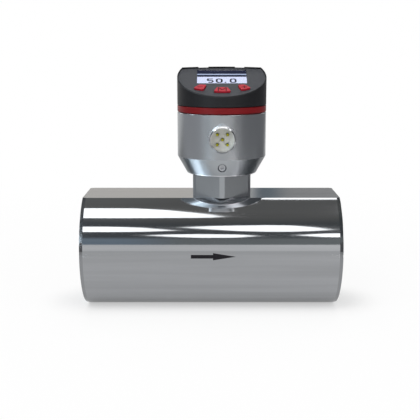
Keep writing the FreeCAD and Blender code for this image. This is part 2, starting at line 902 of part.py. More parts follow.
def cap_seal():
    half = cap_seal_section / 2
    middle = Vector(inlet_run, 0, housing_top + cap_seal_rise)
    return Part.makeTorus(skirt_radius - half - slip_clearance, half, middle)


def display_bosses():
    """Posts under the face that take the display board's screws."""
    radius = display_boss_diameter / 2
    top = wall_inside + face_wall / 2
    return [
        face_round(radius, display_board_top, top, across, display_boss_rise)
        for across in (-display_boss_place, display_boss_place)
    ]


def display_screw_holes(top):
    return [
        face_round(
            screw_diameter / 2 + slip_clearance, display_board_base, top, across, display_boss_rise
        )
        for across in (-display_boss_place, display_boss_place)
    ]


def window_outline(margin):
    half = window_width / 2 + margin
    low = window_low - margin
    high = window_top + margin
    corners = [Vector(-half, low, 0), Vector(half, low, 0), Vector(half, high, 0), Vector(-half, high, 0)]
    return rounded_outline(corners, window_corner)


def window_opening(margin, low):
    return face_prism(window_outline(margin), low, key_stand)


def face_plate():
    plate = face_slab(plate_floor, -face_sink)
    rim = face_rim + slip_clearance
    plate = plate.common(upright_round(head_radius - rim, cap_base, ridge_top + cap_wall))
    plate = plate.common(before_ridge(rim))
    openings = [window_opening(window_clearance, plate_floor)]
    openings += [key_opening(corners, key_clearance) for corners in key_outlines().values()]
    return plate.cut(openings)


def display_window():
    return face_prism(window_outline(0), window_floor, -face_sink)


def display_panel():
    return face_prism(window_outline(0), backlight_top, panel_top)


def display_backlight():
    return face_prism(window_outline(0), display_board_top, backlight_top)


def display_board():
    board = face_slab(display_board_base, display_board_top)
    board = board.common(upright_round(skirt_inner - part_gap, skirt_end, ridge_top))
    return board.cut(display_screw_holes(display_board_top))


def display_board_screws():
    screws = []
    for across in (-display_boss_place, display_boss_place):
        shank = face_round(
            screw_diameter / 2, display_board_base, wall_inside - slip_clearance, across, display_boss_rise
        )
        head = face_round(
            screw_head_diameter / 2, display_board_base - screw_head_height, display_board_base,
            across, display_boss_rise,
        )
        screws.append(fused(shank, [head]))
    return Part.makeCompound(screws)


def polar(radius, angle):
    """Point of the face at an angle from straight down, measured towards +X."""
    turn = math.radians(angle)
    return Vector(radius * math.sin(turn), -radius * math.cos(turn), 0)


def key_outlines():
    """Corners of the three keys, the lower two first; the outer keys mirror each other."""
    low = head_radius - key_rim_inset
    mode_top = window_low - mode_key_gap
    half_top = mode_key_top_width / 2
    mode = [
        polar(low, -mode_key_half_angle),
        polar(low, mode_key_half_angle),
        Vector(half_top, mode_top, 0),
        Vector(-half_top, mode_top, 0),
    ]
    plus = [
        polar(head_radius - side_key_inner_inset, side_key_inner_angle),
        polar(head_radius - side_key_outer_inset, side_key_outer_angle),
        Vector(side_key_outer, window_low - side_key_outer_gap, 0),
        Vector(side_key_inner, window_low - side_key_inner_gap, 0),
    ]
    minus = [Vector(-plus[index].x, plus[index].y, 0) for index in (1, 0, 3, 2)]
    return {"minus_button": minus, "mode_button": mode, "plus_button": plus}


def key_outline(corners, margin=0.0):
    """Outline of a key moved outwards by a margin: straight sides, a round lower edge and rounded corners."""
    low_left, low_right, top_right, top_left = corners
    chord = low_right - low_left
    bend = head_radius - key_rim_inset
    bulge = bend - math.sqrt(bend ** 2 - chord.Length ** 2 / 4)
    outward = Vector(chord.y, -chord.x, 0).normalize()
    lowest = (low_left + low_right) * 0.5 + outward * bulge
    straight = Part.makePolygon([low_right, top_right, top_left, low_left])
    sharp = Part.Wire([Part.Arc(low_left, lowest, low_right).toShape()] + straight.Edges)
    return sharp.makeOffset2D(-key_corner).makeOffset2D(key_corner + margin)


def key_opening(corners, margin):
    return face_prism(key_outline(corners, margin), wall_inside, key_stand)


def key_button(corners):
    """Key with a flange under the face that keeps it from falling out."""
    flange_top = wall_inside - slip_clearance
    cap = face_prism(key_outline(corners), flange_top, key_stand - face_sink)
    flange = face_prism(key_outline(corners, key_flange), flange_top - key_flange_thickness, flange_top)
    return fused(cap, [flange])


def key_domes():
    """Round snap domes on the display board, one under each key."""
    base = dome_diameter / 2
    sphere = (base * base + dome_height * dome_height) / (2 * dome_height)
    domes = []
    for corners in key_outlines().values():
        middle = Vector(0, 0, 0)
        for point in corners:
            middle = middle + point * (1.0 / len(corners))
        ball = Part.makeSphere(sphere, Vector(middle.x, middle.y, display_board_top + dome_height - sphere))
        domes.append(on_face(ball).common(face_slab(display_board_top, 0)))
    return Part.makeCompound(domes)


def pieces():
    """Every piece of the flow meter by name."""
    made = {
        "meter_body": meter_body(),
        "inlet_support": support(inlet_run, -1),
        "outlet_support": support(outlet_run, 1),
        "inlet_bearing": bearing(-1),
        "outlet_bearing": bearing(1),
        "inlet_retainer": retainer(retainer_start),
        "outlet_retainer": retainer(outlet_retainer_start()),
        "rotor": rotor(),
        "rotor_shaft": rotor_shaft(),
        "neck": neck(),
        "neck_seal": neck_seal(),
        "pickup_bobbin": pickup_bobbin(),
        "pickup_coil": pickup_coil(),
        "pickup_core": pickup_core(),
        "pickup_magnet": pickup_magnet(),
        "pickup_plug": pickup_plug(),
        "swivel_seal": swivel_seal(),
        "swivel_circlip": swivel_circlip(),
        "housing": housing(),
        "lock_screw": lock_screw(),
        "connector_shell": connector_shell(),
        "connector_insert": connector_insert(),
        "connector_pins": connector_pins(),
        "connector_nut": connector_nut(),
        "connector_seal": connector_seal(),
        "main_board": main_board(),
        "main_board_spacers": main_board_spacers(),
        "main_board_screws": main_board_screws(),
        "trim_ring": trim_ring(),
        "cap_retainer": cap_retainer(),
        "display_cap": display_cap(),
        "cap_seal": cap_seal(),
        "face_plate": face_plate(),
        "display_window": display_window(),
        "display_panel": display_panel(),
        "display_backlight": display_backlight(),
        "display_board": display_board(),
        "display_board_screws": display_board_screws(),
        "key_domes": key_domes(),
    }
    for name, corners in key_outlines().items():
        made[name] = key_button(corners)
    return made


os.makedirs("parts", exist_ok=True)
for name, shape in pieces().items():
    shape.exportStep(os.path.join("parts", name + ".step"))
    print(name, len(shape.Solids), "solid", shape.isValid(), round(shape.Volume, 1), "mm3")
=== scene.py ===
import json
import math

import bpy
import numpy as np
from bpy.props import FloatProperty, FloatVectorProperty, IntProperty, PointerProperty
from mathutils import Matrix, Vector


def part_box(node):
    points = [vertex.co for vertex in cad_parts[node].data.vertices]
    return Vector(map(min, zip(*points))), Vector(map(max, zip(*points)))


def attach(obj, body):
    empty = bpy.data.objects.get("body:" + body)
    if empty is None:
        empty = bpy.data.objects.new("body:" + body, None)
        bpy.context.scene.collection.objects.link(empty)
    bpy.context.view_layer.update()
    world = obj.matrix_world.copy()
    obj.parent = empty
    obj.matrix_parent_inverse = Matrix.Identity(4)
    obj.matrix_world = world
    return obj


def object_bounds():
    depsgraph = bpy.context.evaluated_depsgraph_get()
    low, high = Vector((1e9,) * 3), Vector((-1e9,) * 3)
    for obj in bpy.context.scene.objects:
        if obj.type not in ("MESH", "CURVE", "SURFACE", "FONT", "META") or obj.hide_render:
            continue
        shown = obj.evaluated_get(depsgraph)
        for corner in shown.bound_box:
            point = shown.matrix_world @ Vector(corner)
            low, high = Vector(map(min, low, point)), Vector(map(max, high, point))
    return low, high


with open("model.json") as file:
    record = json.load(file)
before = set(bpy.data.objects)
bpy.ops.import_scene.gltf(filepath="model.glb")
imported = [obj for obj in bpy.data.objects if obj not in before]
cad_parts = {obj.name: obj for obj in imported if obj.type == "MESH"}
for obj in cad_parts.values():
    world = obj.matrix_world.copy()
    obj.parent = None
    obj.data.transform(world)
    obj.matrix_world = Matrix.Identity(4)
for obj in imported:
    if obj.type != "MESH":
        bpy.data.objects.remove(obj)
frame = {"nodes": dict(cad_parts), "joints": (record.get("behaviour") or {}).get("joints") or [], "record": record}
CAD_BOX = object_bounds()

bl_info = {
    "name": "Turbine flow meter",
    "version": (1, 0, 0),
    "blender": (4, 5, 0),
    "location": "View3D > Sidebar > Flow meter",
    "description": "Gives the flow meter its finishes, prints and threads, and sets it in a studio",
    "category": "Object",
}

MM = 0.001

# Places taken from the solids


def mesh_points(mesh):
    """Corners of a mesh as an array of points."""
    points = np.empty(len(mesh.vertices) * 3)
    mesh.vertices.foreach_get("co", points)
    return points.reshape(-1, 3)


def node_points(name):
    """Corners of a node of the solids."""
    return mesh_points(frame["nodes"][name].data)


TUBE_LOW, TUBE_HIGH = (np.array(corner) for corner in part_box("meter_body"))
TUBE_RADIUS = TUBE_HIGH[1]
TUBE_MIDDLE = (TUBE_LOW + TUBE_HIGH) / 2
HEAD_X = sum(corner[0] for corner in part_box("neck")) / 2
HOUSING_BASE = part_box("housing")[0].z
PORT = next(mount for mount in frame["record"]["mounts"] if mount["name"] == "inlet_port")
PORT_RADIUS = PORT["dims"]["r_mm"] * MM
PRESS = next(joint for joint in frame["joints"] if joint["name"] == "mode_press")
FACE_OUT = -np.array(PRESS["axis"])
FACE_ACROSS = np.array([1.0, 0.0, 0.0])
FACE_UP = np.cross(FACE_OUT, FACE_ACROSS)


def face_level(node):
    """Height of a node's upper surface, measured square to the slanted face."""
    return (node_points(node) @ FACE_OUT).max()


def on_face(across, up, level):
    """Points of the slanted face: across from the head's axis, up the face, at a level square to it."""
    foot = np.array([HEAD_X, 0.0, 0.0])
    return (
        foot
        + np.multiply.outer(across, FACE_ACROSS)
        + np.multiply.outer(up + FACE_RISE, FACE_UP)
        + np.multiply.outer(level, FACE_OUT)
    )


# Where the head's axis meets the slanted face, measured up the face
FACE_RISE = face_level("display_window") * FACE_UP[2] / FACE_OUT[2]


# Values that a user may change


def colour_of(name, description, default):
    """A colour property, in linear light."""
    return FloatVectorProperty(name=name, description=description, default=default, subtype="COLOR")


def length_of(name, description, millimetres):
    """A length property, given in millimetres and kept in metres."""
    return FloatProperty(name=name, description=description, default=millimetres * MM, unit="LENGTH")


def angle_of(name, description, degrees):
    """An angle property, given in degrees."""
    return FloatProperty(name=name, description=description, default=math.radians(degrees), subtype="ANGLE")


def share_of(name, description, default):
    """A property from 0 to 1."""
    return FloatProperty(
        name=name, description=description, default=default, subtype="FACTOR", min=0.0, max=1.0,
    )


class MeterColours(bpy.types.PropertyGroup):
    """Colours of the finishes, in linear light."""

    tube_steel: colour_of("Tube steel", "Mirror-polished steel of the meter tube", (0.385, 0.395, 0.41))
    satin_steel: colour_of("Satin steel", "Satin steel of the housing and the neck", (0.268, 0.282, 0.295))
    cap_black: colour_of("Cap black", "Moulded plastic of the display cap", (0.011, 0.0115, 0.0135))
    plate_grey: colour_of("Plate grey", "Fine-textured plate round the screen", (0.037, 0.040, 0.048))
    trim_red: colour_of("Trim red", "Ring between housing and display cap", (0.175, 0.0035, 0.006))
    key_red: colour_of("Key red", "The three keys", (0.46, 0.020, 0.038))
    insert_grey: colour_of("Insert grey", "Insulating insert of the plug inlet", (0.56, 0.56, 0.53))
    pin_gold: colour_of("Pin gold", "Plating of the contact pins", (0.34, 0.32, 0.015))
    screen_white: colour_of("Screen white", "Lit ground behind the digits", (0.70, 0.745, 0.97))
    screen_navy: colour_of("Screen navy", "Dark field at the top of the screen", (0.007, 0.010, 0.028))
    screen_line: colour_of("Screen line", "Light line across the dark field", (0.40, 0.47, 0.65))
    ink: colour_of("Ink", "Print on the tube, the keys and the screen", (0.012, 0.011, 0.014))


class MeterPrints(bpy.types.PropertyGroup):
    """Sizes of the arrow, the digits and the key signs."""

    arrow_tail: length_of("Arrow tail", "From the inlet face to the arrow's tail", 44.4)
    arrow_shoulder: length_of("Arrow shoulder", "From the inlet face to the arrow's head", 53.2)
    arrow_tip: length_of("Arrow tip", "From the inlet face to the arrow's tip", 62.2)
    arrow_tail_half: length_of("Tail half width", "Half the width of the arrow's tail", 0.73)
    arrow_head_half: length_of("Head half width", "Half the width of the arrow's head", 1.45)
    arrow_turn: angle_of("Arrow turn", "Round the tube from its front to the arrow, upwards", 2.0)
    digit_width: length_of("Digit width", "Outside width of one digit", 2.8)
    digit_height: length_of("Digit height", "Outside height of one digit", 4.0)
    digit_stroke: length_of("Digit stroke", "Width of the digits' stroke", 0.76)
    digit_middle: length_of("Digit middle", "Up the face from the head's axis to the digits' middle", -3.2)
    sign_size: length_of("Sign size", "Width of the plus and minus signs", 2.2)
    sign_stroke: length_of("Sign stroke", "Width of the signs' stroke", 0.4)
    film: length_of("Film", "Thickness of a print above its ground", 0.015)


class MeterThreads(bpy.types.PropertyGroup):
    """Sizes of the pipe thread in the two ports."""

    pitch: length_of("Pitch", "Advance in one turn", 2.309)
    depth: length_of("Depth", "Height of the ridge inside the bore", 0.7)
    start: length_of("Start", "From the port's mouth to the first turn", 1.6)
    turns: IntProperty(name="Turns", description="Turns of the ridge", default=7, min=1)


class MeterStage(bpy.types.PropertyGroup):
    """Camera, floor and light."""

    camera_place: FloatVectorProperty(
        name="Camera place", description="Where the camera stands",
        default=(0.0520, -0.3262, 0.0826), subtype="XYZ", unit="LENGTH",
    )
    camera_pitch: angle_of("Camera pitch", "How far the camera looks down", 11.774)
    lens: FloatProperty(
        name="Lens", description="Focal length in millimetres on a 36 mm sensor", default=67.35,
    )
    dome_radius: length_of("Dome radius", "Radius of the dark ceiling that the steel mirrors", 3000.0)
    dome_edge: angle_of("Dome edge", "Elevation of the ceiling's lower edge", 11.6)
    card_light: FloatProperty(
        name="Card light", description="Brightness of the white cards, where 1 is white", default=3.2,
    )
    floor_glow: share_of("Floor glow", "The floor's own white beside the tube; the rest is its shade", 0.47)
    floor_dim: share_of("Floor dim", "How much darker the floor's own white is in mirrors", 0.22)


# Nodes written as expressions


class Field:
    """One output socket of a material's nodes. Arithmetic on it adds Math nodes, node() adds any other."""

    def __init__(self, socket):
        self.socket = socket

    def node(self, kind, settings=None, inputs=None, output=0):
        """Adds a node, sets its settings and then its inputs' values or links, and gives one output."""
        tree = self.socket.id_data
        made = tree.nodes.new(kind)
        for name, value in (settings or {}).items():
            if name == "stops":
                set_stops(made.color_ramp, value)
            else:
                setattr(made, name, value)
        for name, value in (inputs or {}).items():
            if isinstance(value, Field):
                tree.links.new(value.socket, made.inputs[name])
            else:
                made.inputs[name].default_value = value
        return Field(made.outputs[output])

    def maths(self, operation, first, second=0.0):
        """Adds a Math node."""
        return self.node("ShaderNodeMath", {"operation": operation}, {0: first, 1: second})

    def __add__(self, other):
        return self.maths("ADD", self, other)

    def __radd__(self, other):
        return self.maths("ADD", other, self)

    def __sub__(self, other):
        return self.maths("SUBTRACT", self, other)

    def __rsub__(self, other):
        return self.maths("SUBTRACT", other, self)

    def __mul__(self, other):
        return self.maths("MULTIPLY", self, other)

    def __rmul__(self, other):
        return self.maths("MULTIPLY", other, self)

    def __pow__(self, other):
        return self.maths("POWER", self, other)

    def __rpow__(self, other):
        return self.maths("POWER", other, self)

    def __gt__(self, other):
        return self.maths("GREATER_THAN", self, other)

    def __lt__(self, other):
        return self.maths("LESS_THAN", self, other)


def set_stops(ramp, stops):
    """Gives a colour ramp its (position, colour) stops."""
    while len(ramp.elements) < len(stops):
        ramp.elements.new(1.0)
    for element, (position, colour) in zip(ramp.elements, stops):
        element.position = position
        element.color = (*colour, 1.0)


def opaque(colour):
    return (*colour, 1.0)


def scaled(colour, share):
    """A colour made lighter or darker by a plain number."""
    return tuple(channel * share for channel in colour)


def parts_of(vector):
    """The three coordinates of a vector field."""
    split = vector.node("ShaderNodeSeparateXYZ", inputs={0: vector})
    outputs = split.socket.node.outputs
    return Field(outputs[0]), Field(outputs[1]), Field(outputs[2])


def joined(x, y, z):
    """A vector field from three coordinates, some of which may be plain numbers."""
    first = next(part for part in (x, y, z) if isinstance(part, Field))
    return first.node("ShaderNodeCombineXYZ", inputs={0: x, 1: y, 2: z})


def along(place, way):
    """How far a place lies along a direction of length one."""
    return place.node("ShaderNodeVectorMath", {"operation": "DOT_PRODUCT"}, {0: place, 1: way}, output=1)


def step(value, low, high):
    """Rises smoothly from 0 to 1 as a value goes from low to high."""
    return value.node(
        "ShaderNodeMapRange", {"interpolation_type": "SMOOTHSTEP"},
        {"Value": value, "From Min": low, "From Max": high},
    )


def grain(place, scale, detail=2.0):
    """Noise from 0 to 1 with a number of features per metre."""
    return place.node("ShaderNodeTexNoise", inputs={"Vector": place, "Scale": scale, "Detail": detail})


def mixed(share, first, second):
    """Colour that goes from the first to the second by a share."""
    values = {0: share}
    for index, colour in ((6, first), (7, second)):
        values[index] = colour if isinstance(colour, Field) else opaque(colour)
    return share.node("ShaderNodeMix", {"data_type": "RGBA"}, values, output=2)


def mottled(share, colour, first, second):
    """One colour that goes from one brightness to another by a share."""
    return mixed(share, scaled(colour, first), scaled(colour, second))


def relief(height, depth):
    """Normal of a surface whose height field is worth a depth in metres."""
    return height.node("ShaderNodeBump", inputs={"Height": height, "Distance": depth, "Strength": 1.0})


def object_place(tree):
    """Where a point lies on its object, which sits at the origin."""
    return Field(tree.nodes.new("ShaderNodeTexCoord").outputs["Object"])


def new_finish(name, constants):
    """A material with a Principled shader, its constant sockets set; gives it, the shader and the place."""
    material = bpy.data.materials.new(name)
    material.use_nodes = True
    shader = material.node_tree.nodes["Principled BSDF"]
    for socket, value in constants.items():
        shader.inputs[socket].default_value = value
    return material, shader, object_place(material.node_tree)


def feed(shader, **fields):
    """Links fields to the shader's sockets, named with underscores for spaces."""
    for name, field in fields.items():
        shader.id_data.links.new(field.socket, shader.inputs[name.replace("_", " ").title()])


def dress(material, *nodes):
    """Gives a material to nodes of the solids."""
    for name in nodes:
        mesh = frame["nodes"][name].data
        mesh.materials.clear()
        mesh.materials.append(material)


# Finishes


def tube_finish_and_painted_shade(colours):
    """Mirror-polished outside, brushed flat, turned ends and bores, told apart by where they are; the end bevels
    are painted darker, a painted shade.
    """
    material, shader, place = new_finish("polished_tube_and_painted_shade", {"Metallic": 1.0})
    x, y, z = parts_of(place)
    skin = 0.01 * MM
    bevel_run = 1.4 * MM
    bevel_drop = 0.4 * MM
    bore_margin = 0.45 * MM
    radius = (y * y + z * z) ** 0.5
    flat_height = TUBE_HIGH[2]
    flat = step(z, flat_height - 3 * skin, flat_height - skin)
    inset = x.maths("MINIMUM", x - TUBE_LOW[0], TUBE_HIGH[0] - x)
    end = inset < skin
    bevel = (inset > skin) * (inset < bevel_run - skin) * (radius > TUBE_RADIUS - bevel_drop)
    inside = (radius < PORT_RADIUS + bore_margin) * (1 - end)
    brushed = grain(joined(x * 0.02, y, 0.0), 9000, 3.0)
    turned = grain(joined(radius, 0.0, 0.0), 5000, 3.0)
    bored = grain(joined(x, 0.0, 0.0), 4000, 3.0)
    streak = grain(joined(x * 0.03, y, z), 260, 4.0)
    cloud = grain(place, 90, 2.0)
    rough = 0.055 + 0.02 * streak + 0.07 * flat
    rough = rough + (0.18 + 0.1 * turned) * end + (0.2 + 0.12 * bored) * inside
    tone = 0.1 * cloud + 0.9 * streak + 0.2 * flat * brushed
    height = flat * brushed * 0.15 + end * turned + inside * bored
    steel = mottled(tone, colours.tube_steel, 1.2, 0.78)
    feed(
        shader,
        # The end bevels take the same steel painted darker: a painted shade that dims what they mirror.
        base_color=mixed(bevel, steel, scaled(colours.tube_steel, 0.8)),
        roughness=rough,
        normal=relief(height, 0.004 * MM),
    )
    return material


def satin_finish_and_painted_highlights(colours):
    """Fine turned rings; the cone is painted brighter than the wall above it and its lower edge brightest: painted
    highlights.
    """
    material, shader, place = new_finish("satin_steel", {"Metallic": 1.0})
    z = parts_of(place)[2]
    cone_top = HOUSING_BASE + 7.1 * MM
    # The lowest half millimetre of the cone is a painted highlight line.
    painted_highlight_top = HOUSING_BASE + 0.5 * MM
    blur = 0.15 * MM
    wall = step(z, cone_top - blur, cone_top + blur)
    edge = 1 - step(z, painted_highlight_top - blur, painted_highlight_top)
    rings = grain(joined(0.0, 0.0, z), 9000, 3.0)
    cloud = grain(place, 120, 3.0)
    tone = cloud * 0.4 + rings * 0.3
    steel = mottled(tone, colours.satin_steel, 1.44, 1.2)
    # A brighter copy of the same steel for the cone: a painted highlight.
    painted_bright_cone = mottled(tone, colours.satin_steel, 1.72, 1.45)
    feed(
        shader,
        # Cone painted brighter and its lower edge painted near white: painted highlights.
        base_color=mixed(edge, mixed(wall, painted_bright_cone, steel), (0.9, 0.9, 0.92)),
        roughness=0.27 - 0.07 * wall + 0.05 * rings,
        normal=relief(rings, 0.0015 * MM),
    )
    return material


def neck_finish_and_painted_highlight(colours):
    """Milled flats with upright marks; the turned corners have no marks and are painted brighter, a painted
    highlight.
    """
    material, shader, place = new_finish("neck_steel_and_painted_highlight", {"Metallic": 1.0})
    x, y, z = parts_of(place)
    reach = ((x - HEAD_X) * (x - HEAD_X) + y * y) ** 0.5
    widest = np.hypot(*(node_points("neck")[:, :2] - (HEAD_X, 0.0)).T).max()
    turn = x.maths("ARCTAN2", x - HEAD_X, y)
    sixfold = x.maths("COSINE", turn * 6.0)
    corner_reach = widest - 0.3 * MM
    blur = 0.1 * MM
    corner = step(sixfold, 0.905, 0.925) * step(reach, corner_reach, corner_reach + blur)
    marks = grain(joined(x, y, z * 0.03), 6000, 3.0)
    cloud = grain(place, 150, 2.0)
    tone = 0.5 * cloud + 0.2 * marks
    flats = mottled(tone, colours.satin_steel, 1.18, 1.0)
    feed(
        shader,
        # The corners take a brighter copy of the steel: a painted highlight.
        base_color=mixed(corner, flats, scaled(colours.satin_steel, 1.3)),
        roughness=0.26 + 0.05 * marks,
        normal=relief(marks * (1 - corner), 0.001 * MM),
    )
    return material


def metal_finish(name, colour, rough, scale):
    """Plain machined metal with fine even grain."""
    material, shader, place = new_finish(name, {"Metallic": 1.0})
    fine = grain(place, scale, 3.0)
    cloud = grain(place, scale * 0.05, 2.0)
    feed(
        shader,
        base_color=mottled(cloud * 0.6 + fine * 0.3, colour, 1.1, 0.8),
        roughness=rough * 0.8 + rough * 0.5 * fine,
        normal=relief(fine, 0.003 * MM),
    )
    return material


def shell_finish_and_painted_light():
    """Plating of one metal in two brightnesses, painted shade and painted light: darker on the bevelled rim,
    brighter behind it, and duller on the outside wall.
    """
    material, shader, place = new_finish("plated_shell", {"Metallic": 1.0})
    x, y, z = parts_of(place)
    low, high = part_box("connector_shell")
    radius = (high.z - low.z) / 2
    rim = low.y + 0.45 * MM
    wall_reach = radius - 0.3 * MM
    rise = z - (low.z + high.z) / 2
    reach = ((x - HEAD_X) * (x - HEAD_X) + rise * rise) ** 0.5
    behind_rim = step(y, rim, rim + 0.15 * MM)
    wall = behind_rim * step(reach, wall_reach, wall_reach + 0.2 * MM)
    fine = grain(place, 3000, 3.0)
    feed(
        shader,
        # Rim painted darker and the plating behind it painted brighter: painted shade and painted light.
        base_color=mixed(behind_rim, (0.43, 0.44, 0.45), (0.92, 0.93, 0.95)),
        roughness=0.18 + 0.26 * wall + 0.06 * fine,
        normal=relief(fine, 0.003 * MM),
    )
    return material


def moulded_finish(name, colour, rough, scale, depth, spread=0.2, gloss=0.3):
    """Moulded plastic with a fine spark-eroded texture."""
    material, shader, place = new_finish(name, {"IOR": 1.5, "Specular IOR Level": gloss})
    fine = grain(place, scale, 2.0)
    cloud = grain(place, scale * 0.08, 2.0)
    feed(
        shader,
        base_color=mottled(fine * 0.6 + cloud * 0.4, colour, 1 + spread, 1 - spread),
        roughness=rough - 0.1 + 0.2 * fine,
        normal=relief(fine, depth),
    )
    return material


def rubber_finish():
    return moulded_finish("seal_rubber", (0.018, 0.018, 0.018), 0.6, 2500, 0.006 * MM)


def coil_finish_and_painted_shade():
    """Enamelled wire: one band for each layer's turn, along the neck's axis, painted dark where the turns meet, a
    painted shade between the wires.
    """
    material, shader, place = new_finish("coil_copper", {"Metallic": 1.0})
    wire = 0.1 * MM
    # Each band goes from dark where the turns meet to bright at the wire's middle: painted shade.
    turn = place.maths("PINGPONG", parts_of(place)[2], wire) * (1 / wire)
    feed(
        shader,
        base_color=mixed(turn, (0.25, 0.08, 0.03), (0.62, 0.28, 0.12)),
        roughness=0.25 + 0.15 * turn,
        normal=relief(turn, 0.05 * MM),
    )
    return material


def board_finish():
    """Lacquered board with copper tracks under the lacquer."""
    material, shader, place = new_finish("board_green", {"Coat Weight": 0.4, "IOR": 1.5})
    tracks = place.node(
        "ShaderNodeTexBrick", inputs={"Vector": place, "Scale": 260.0, "Mortar Size": 0.03},
        output=1,
    )
    cloud = grain(place, 300, 2.0)
    feed(
        shader,
        base_color=mixed(tracks * 0.7 + cloud * 0.2, (0.012, 0.10, 0.04), (0.05, 0.24, 0.09)),
        roughness=0.35 + 0.1 * cloud,
        normal=relief(tracks, 0.02 * MM),
    )
    return material


def screen_finish(colours):
    """Lit panel: a white ground below, a dark field above it and a light line across the field."""
    material, shader, place = new_finish("screen", {
        "Base Color": opaque((0.002, 0.002, 0.003)), "Roughness": 0.3, "Specular IOR Level": 0.0,
        "Emission Strength": 1.36,
    })
    up = along(place, FACE_UP) - FACE_RISE
    across = parts_of(place)[0]
    dark_from = 0.55 * MM
    line_from = 2.36 * MM
    line_to = 3.42 * MM
    fade_run = 2.4 * MM
    blur = 0.06 * MM
    dot = 0.14 * MM
    dark = step(up, dark_from - blur, dark_from + blur)
    line = step(up, line_from - blur, line_from + blur) * (1 - step(up, line_to - blur, line_to + blur))
    fade = step(up, line_to, line_to + fade_run)
    columns = place.maths("PINGPONG", across, dot) * (1 / dot)
    rows = place.maths("PINGPONG", up, dot) * (1 / dot)
    dots = columns * 0.5 + rows * 0.5
    ground = mixed(dots, scaled(colours.screen_white, 0.94), colours.screen_white)
    field = mixed(fade, colours.screen_navy, scaled(colours.screen_navy, 1.3))
    picture = mixed(line, mixed(dark, ground, field), colours.screen_line)
    feed(shader, emission_color=picture)
    return material


def window_finish():
    """Clear cover with a faint wiped haze and a smoked border along its upper edge."""
    material, shader, place = new_finish("window_clear", {
        "Transmission Weight": 1.0, "IOR": 1.46, "Specular IOR Level": 0.1,
    })
    border_from = (node_points("display_window") @ FACE_UP).max() - 0.5 * MM
    border = step(along(place, FACE_UP), border_from, border_from + 0.1 * MM)
    haze = grain(place, 60, 2.0)
    feed(
        shader,
        base_color=mixed(border, (0.97, 0.98, 1.0), (0.26, 0.26, 0.32)),
        roughness=0.01 + 0.02 * haze,
    )
    return material


def ink_finish(name, colour):
    """Matt print with slightly uneven cover."""
    return moulded_finish(name, colour, 0.5, 4000, 0.002 * MM, 0.2, 0.1)


# Surfaces of the added pieces


def add_object(name, data):
    """A new object in the scene."""
    thing = bpy.data.objects.new(name, data)
    bpy.context.scene.collection.objects.link(thing)
    return thing


def swept(name, rings, closed=False):
    """Mesh object of a closed profile carried along a path.

    rings[i, j] is point j of the profile at station i; faces join each station to the next,
    the ends are capped, or joined to each other where the path is closed.
    """
    stations, corners = rings.shape[:2]
    index = np.arange(stations * corners).reshape(stations, corners)
    beside = np.roll(index, -1, axis=1)
    ahead = np.roll(index, -1, axis=0)
    ahead_beside = np.roll(beside, -1, axis=0)
    walls = np.stack([index, beside, ahead_beside, ahead], axis=-1)
    caps = []
    if not closed:
        walls = walls[:-1]
        caps = [index[0, ::-1].tolist(), index[-1].tolist()]
    mesh = bpy.data.meshes.new(name)
    mesh.from_pydata(rings.reshape(-1, 3), [], walls.reshape(-1, 4).tolist() + caps)
    mesh.validate()
    if signed_volume(mesh) < 0:
        mesh.flip_normals()
    return add_object(name, mesh)


def signed_volume(mesh):
    """Six times the volume inside a mesh, from its triangles; negative where its faces point inwards."""
    mesh.calc_loop_triangles()
    corners = np.empty(len(mesh.loop_triangles) * 3, int)
    mesh.loop_triangles.foreach_get("vertices", corners)
    a, b, c = mesh_points(mesh)[corners.reshape(-1, 3)].transpose(1, 0, 2)
    return np.einsum("ij,ij->", a, np.cross(b, c))


def flat_stroke(path, width):
    """Left and right edges of a stroke: its path moved to each side by half the width, square to its run."""
    run = np.gradient(path, axis=0)
    run /= np.linalg.norm(run, axis=1, keepdims=True)
    side = np.stack([-run[:, 1], run[:, 0]], axis=1) * width / 2
    return path - side, path + side


def face_stroke(name, path, width, level, film, closed=False):
    """A stroke printed on the slanted face: a low, wide rectangle carried along its path."""
    if closed:
        wrapped = np.concatenate([path[-1:], path, path[:1]])
        right, left = (edge[1:-1] for edge in flat_stroke(wrapped, width))
    else:
        right, left = flat_stroke(path, width)
    corners = ((right, -film), (left, -film), (left, film), (right, film))
    rings = [on_face(*edge.T, np.full(len(path), level + height)) for edge, height in corners]
    return swept(name, np.stack(rings, axis=1), closed)


def straight(start, end, points=2):
    """Points of a straight line between two places."""
    share = np.linspace(0.0, 1.0, points)[:, None]
    return np.array(start) * (1 - share) + np.array(end) * share


def bend(centre, reach, start, end, points):
    """Points of an elliptic arc: centre plus reach times the cosine and sine of the turn in degrees."""
    turn = np.radians(np.linspace(start, end, points))
    return np.stack([centre[0] + reach[0] * np.cos(turn), centre[1] + reach[1] * np.sin(turn)], axis=1)


def rounded_loop(centre, half, power=3.4, points=72):
    """Closed superellipse: each coordinate is half its size times the signed 2/power of cosine or sine."""
    turn = np.linspace(0.0, 2 * math.pi, points, endpoint=False)
    shape = np.stack([np.cos(turn), np.sin(turn)], axis=1)
    return np.array(centre) + np.array(half) * np.sign(shape) * np.abs(shape) ** (2 / power)


def finish_piece(piece, material, body):
    """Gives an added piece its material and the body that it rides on."""
    piece.data.materials.append(material)
    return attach(piece, body)


# Light and sheets of the stage


def ray_kinds(tree):
    """1 for rays from the camera, mirrors and glass, and 1 for those from mirrors alone."""
    rays = tree.nodes.new("ShaderNodeLightPath")
    camera, mirrored, through = (
        Field(rays.outputs[f"Is {kind} Ray"]) for kind in ("Camera", "Glossy", "Transmission")
    )
    return camera + mirrored + through, mirrored


def sky(side, rise, radius):
    """Points round the tube's middle, radius times (sin side, -cos side cos rise, cos side sin rise)."""
    side, rise = np.broadcast_arrays(np.radians(side), np.radians(rise))
    return TUBE_MIDDLE + radius * np.stack(
        [np.sin(side), -np.cos(side) * np.cos(rise), np.cos(side) * np.sin(rise)], axis=-1
    )


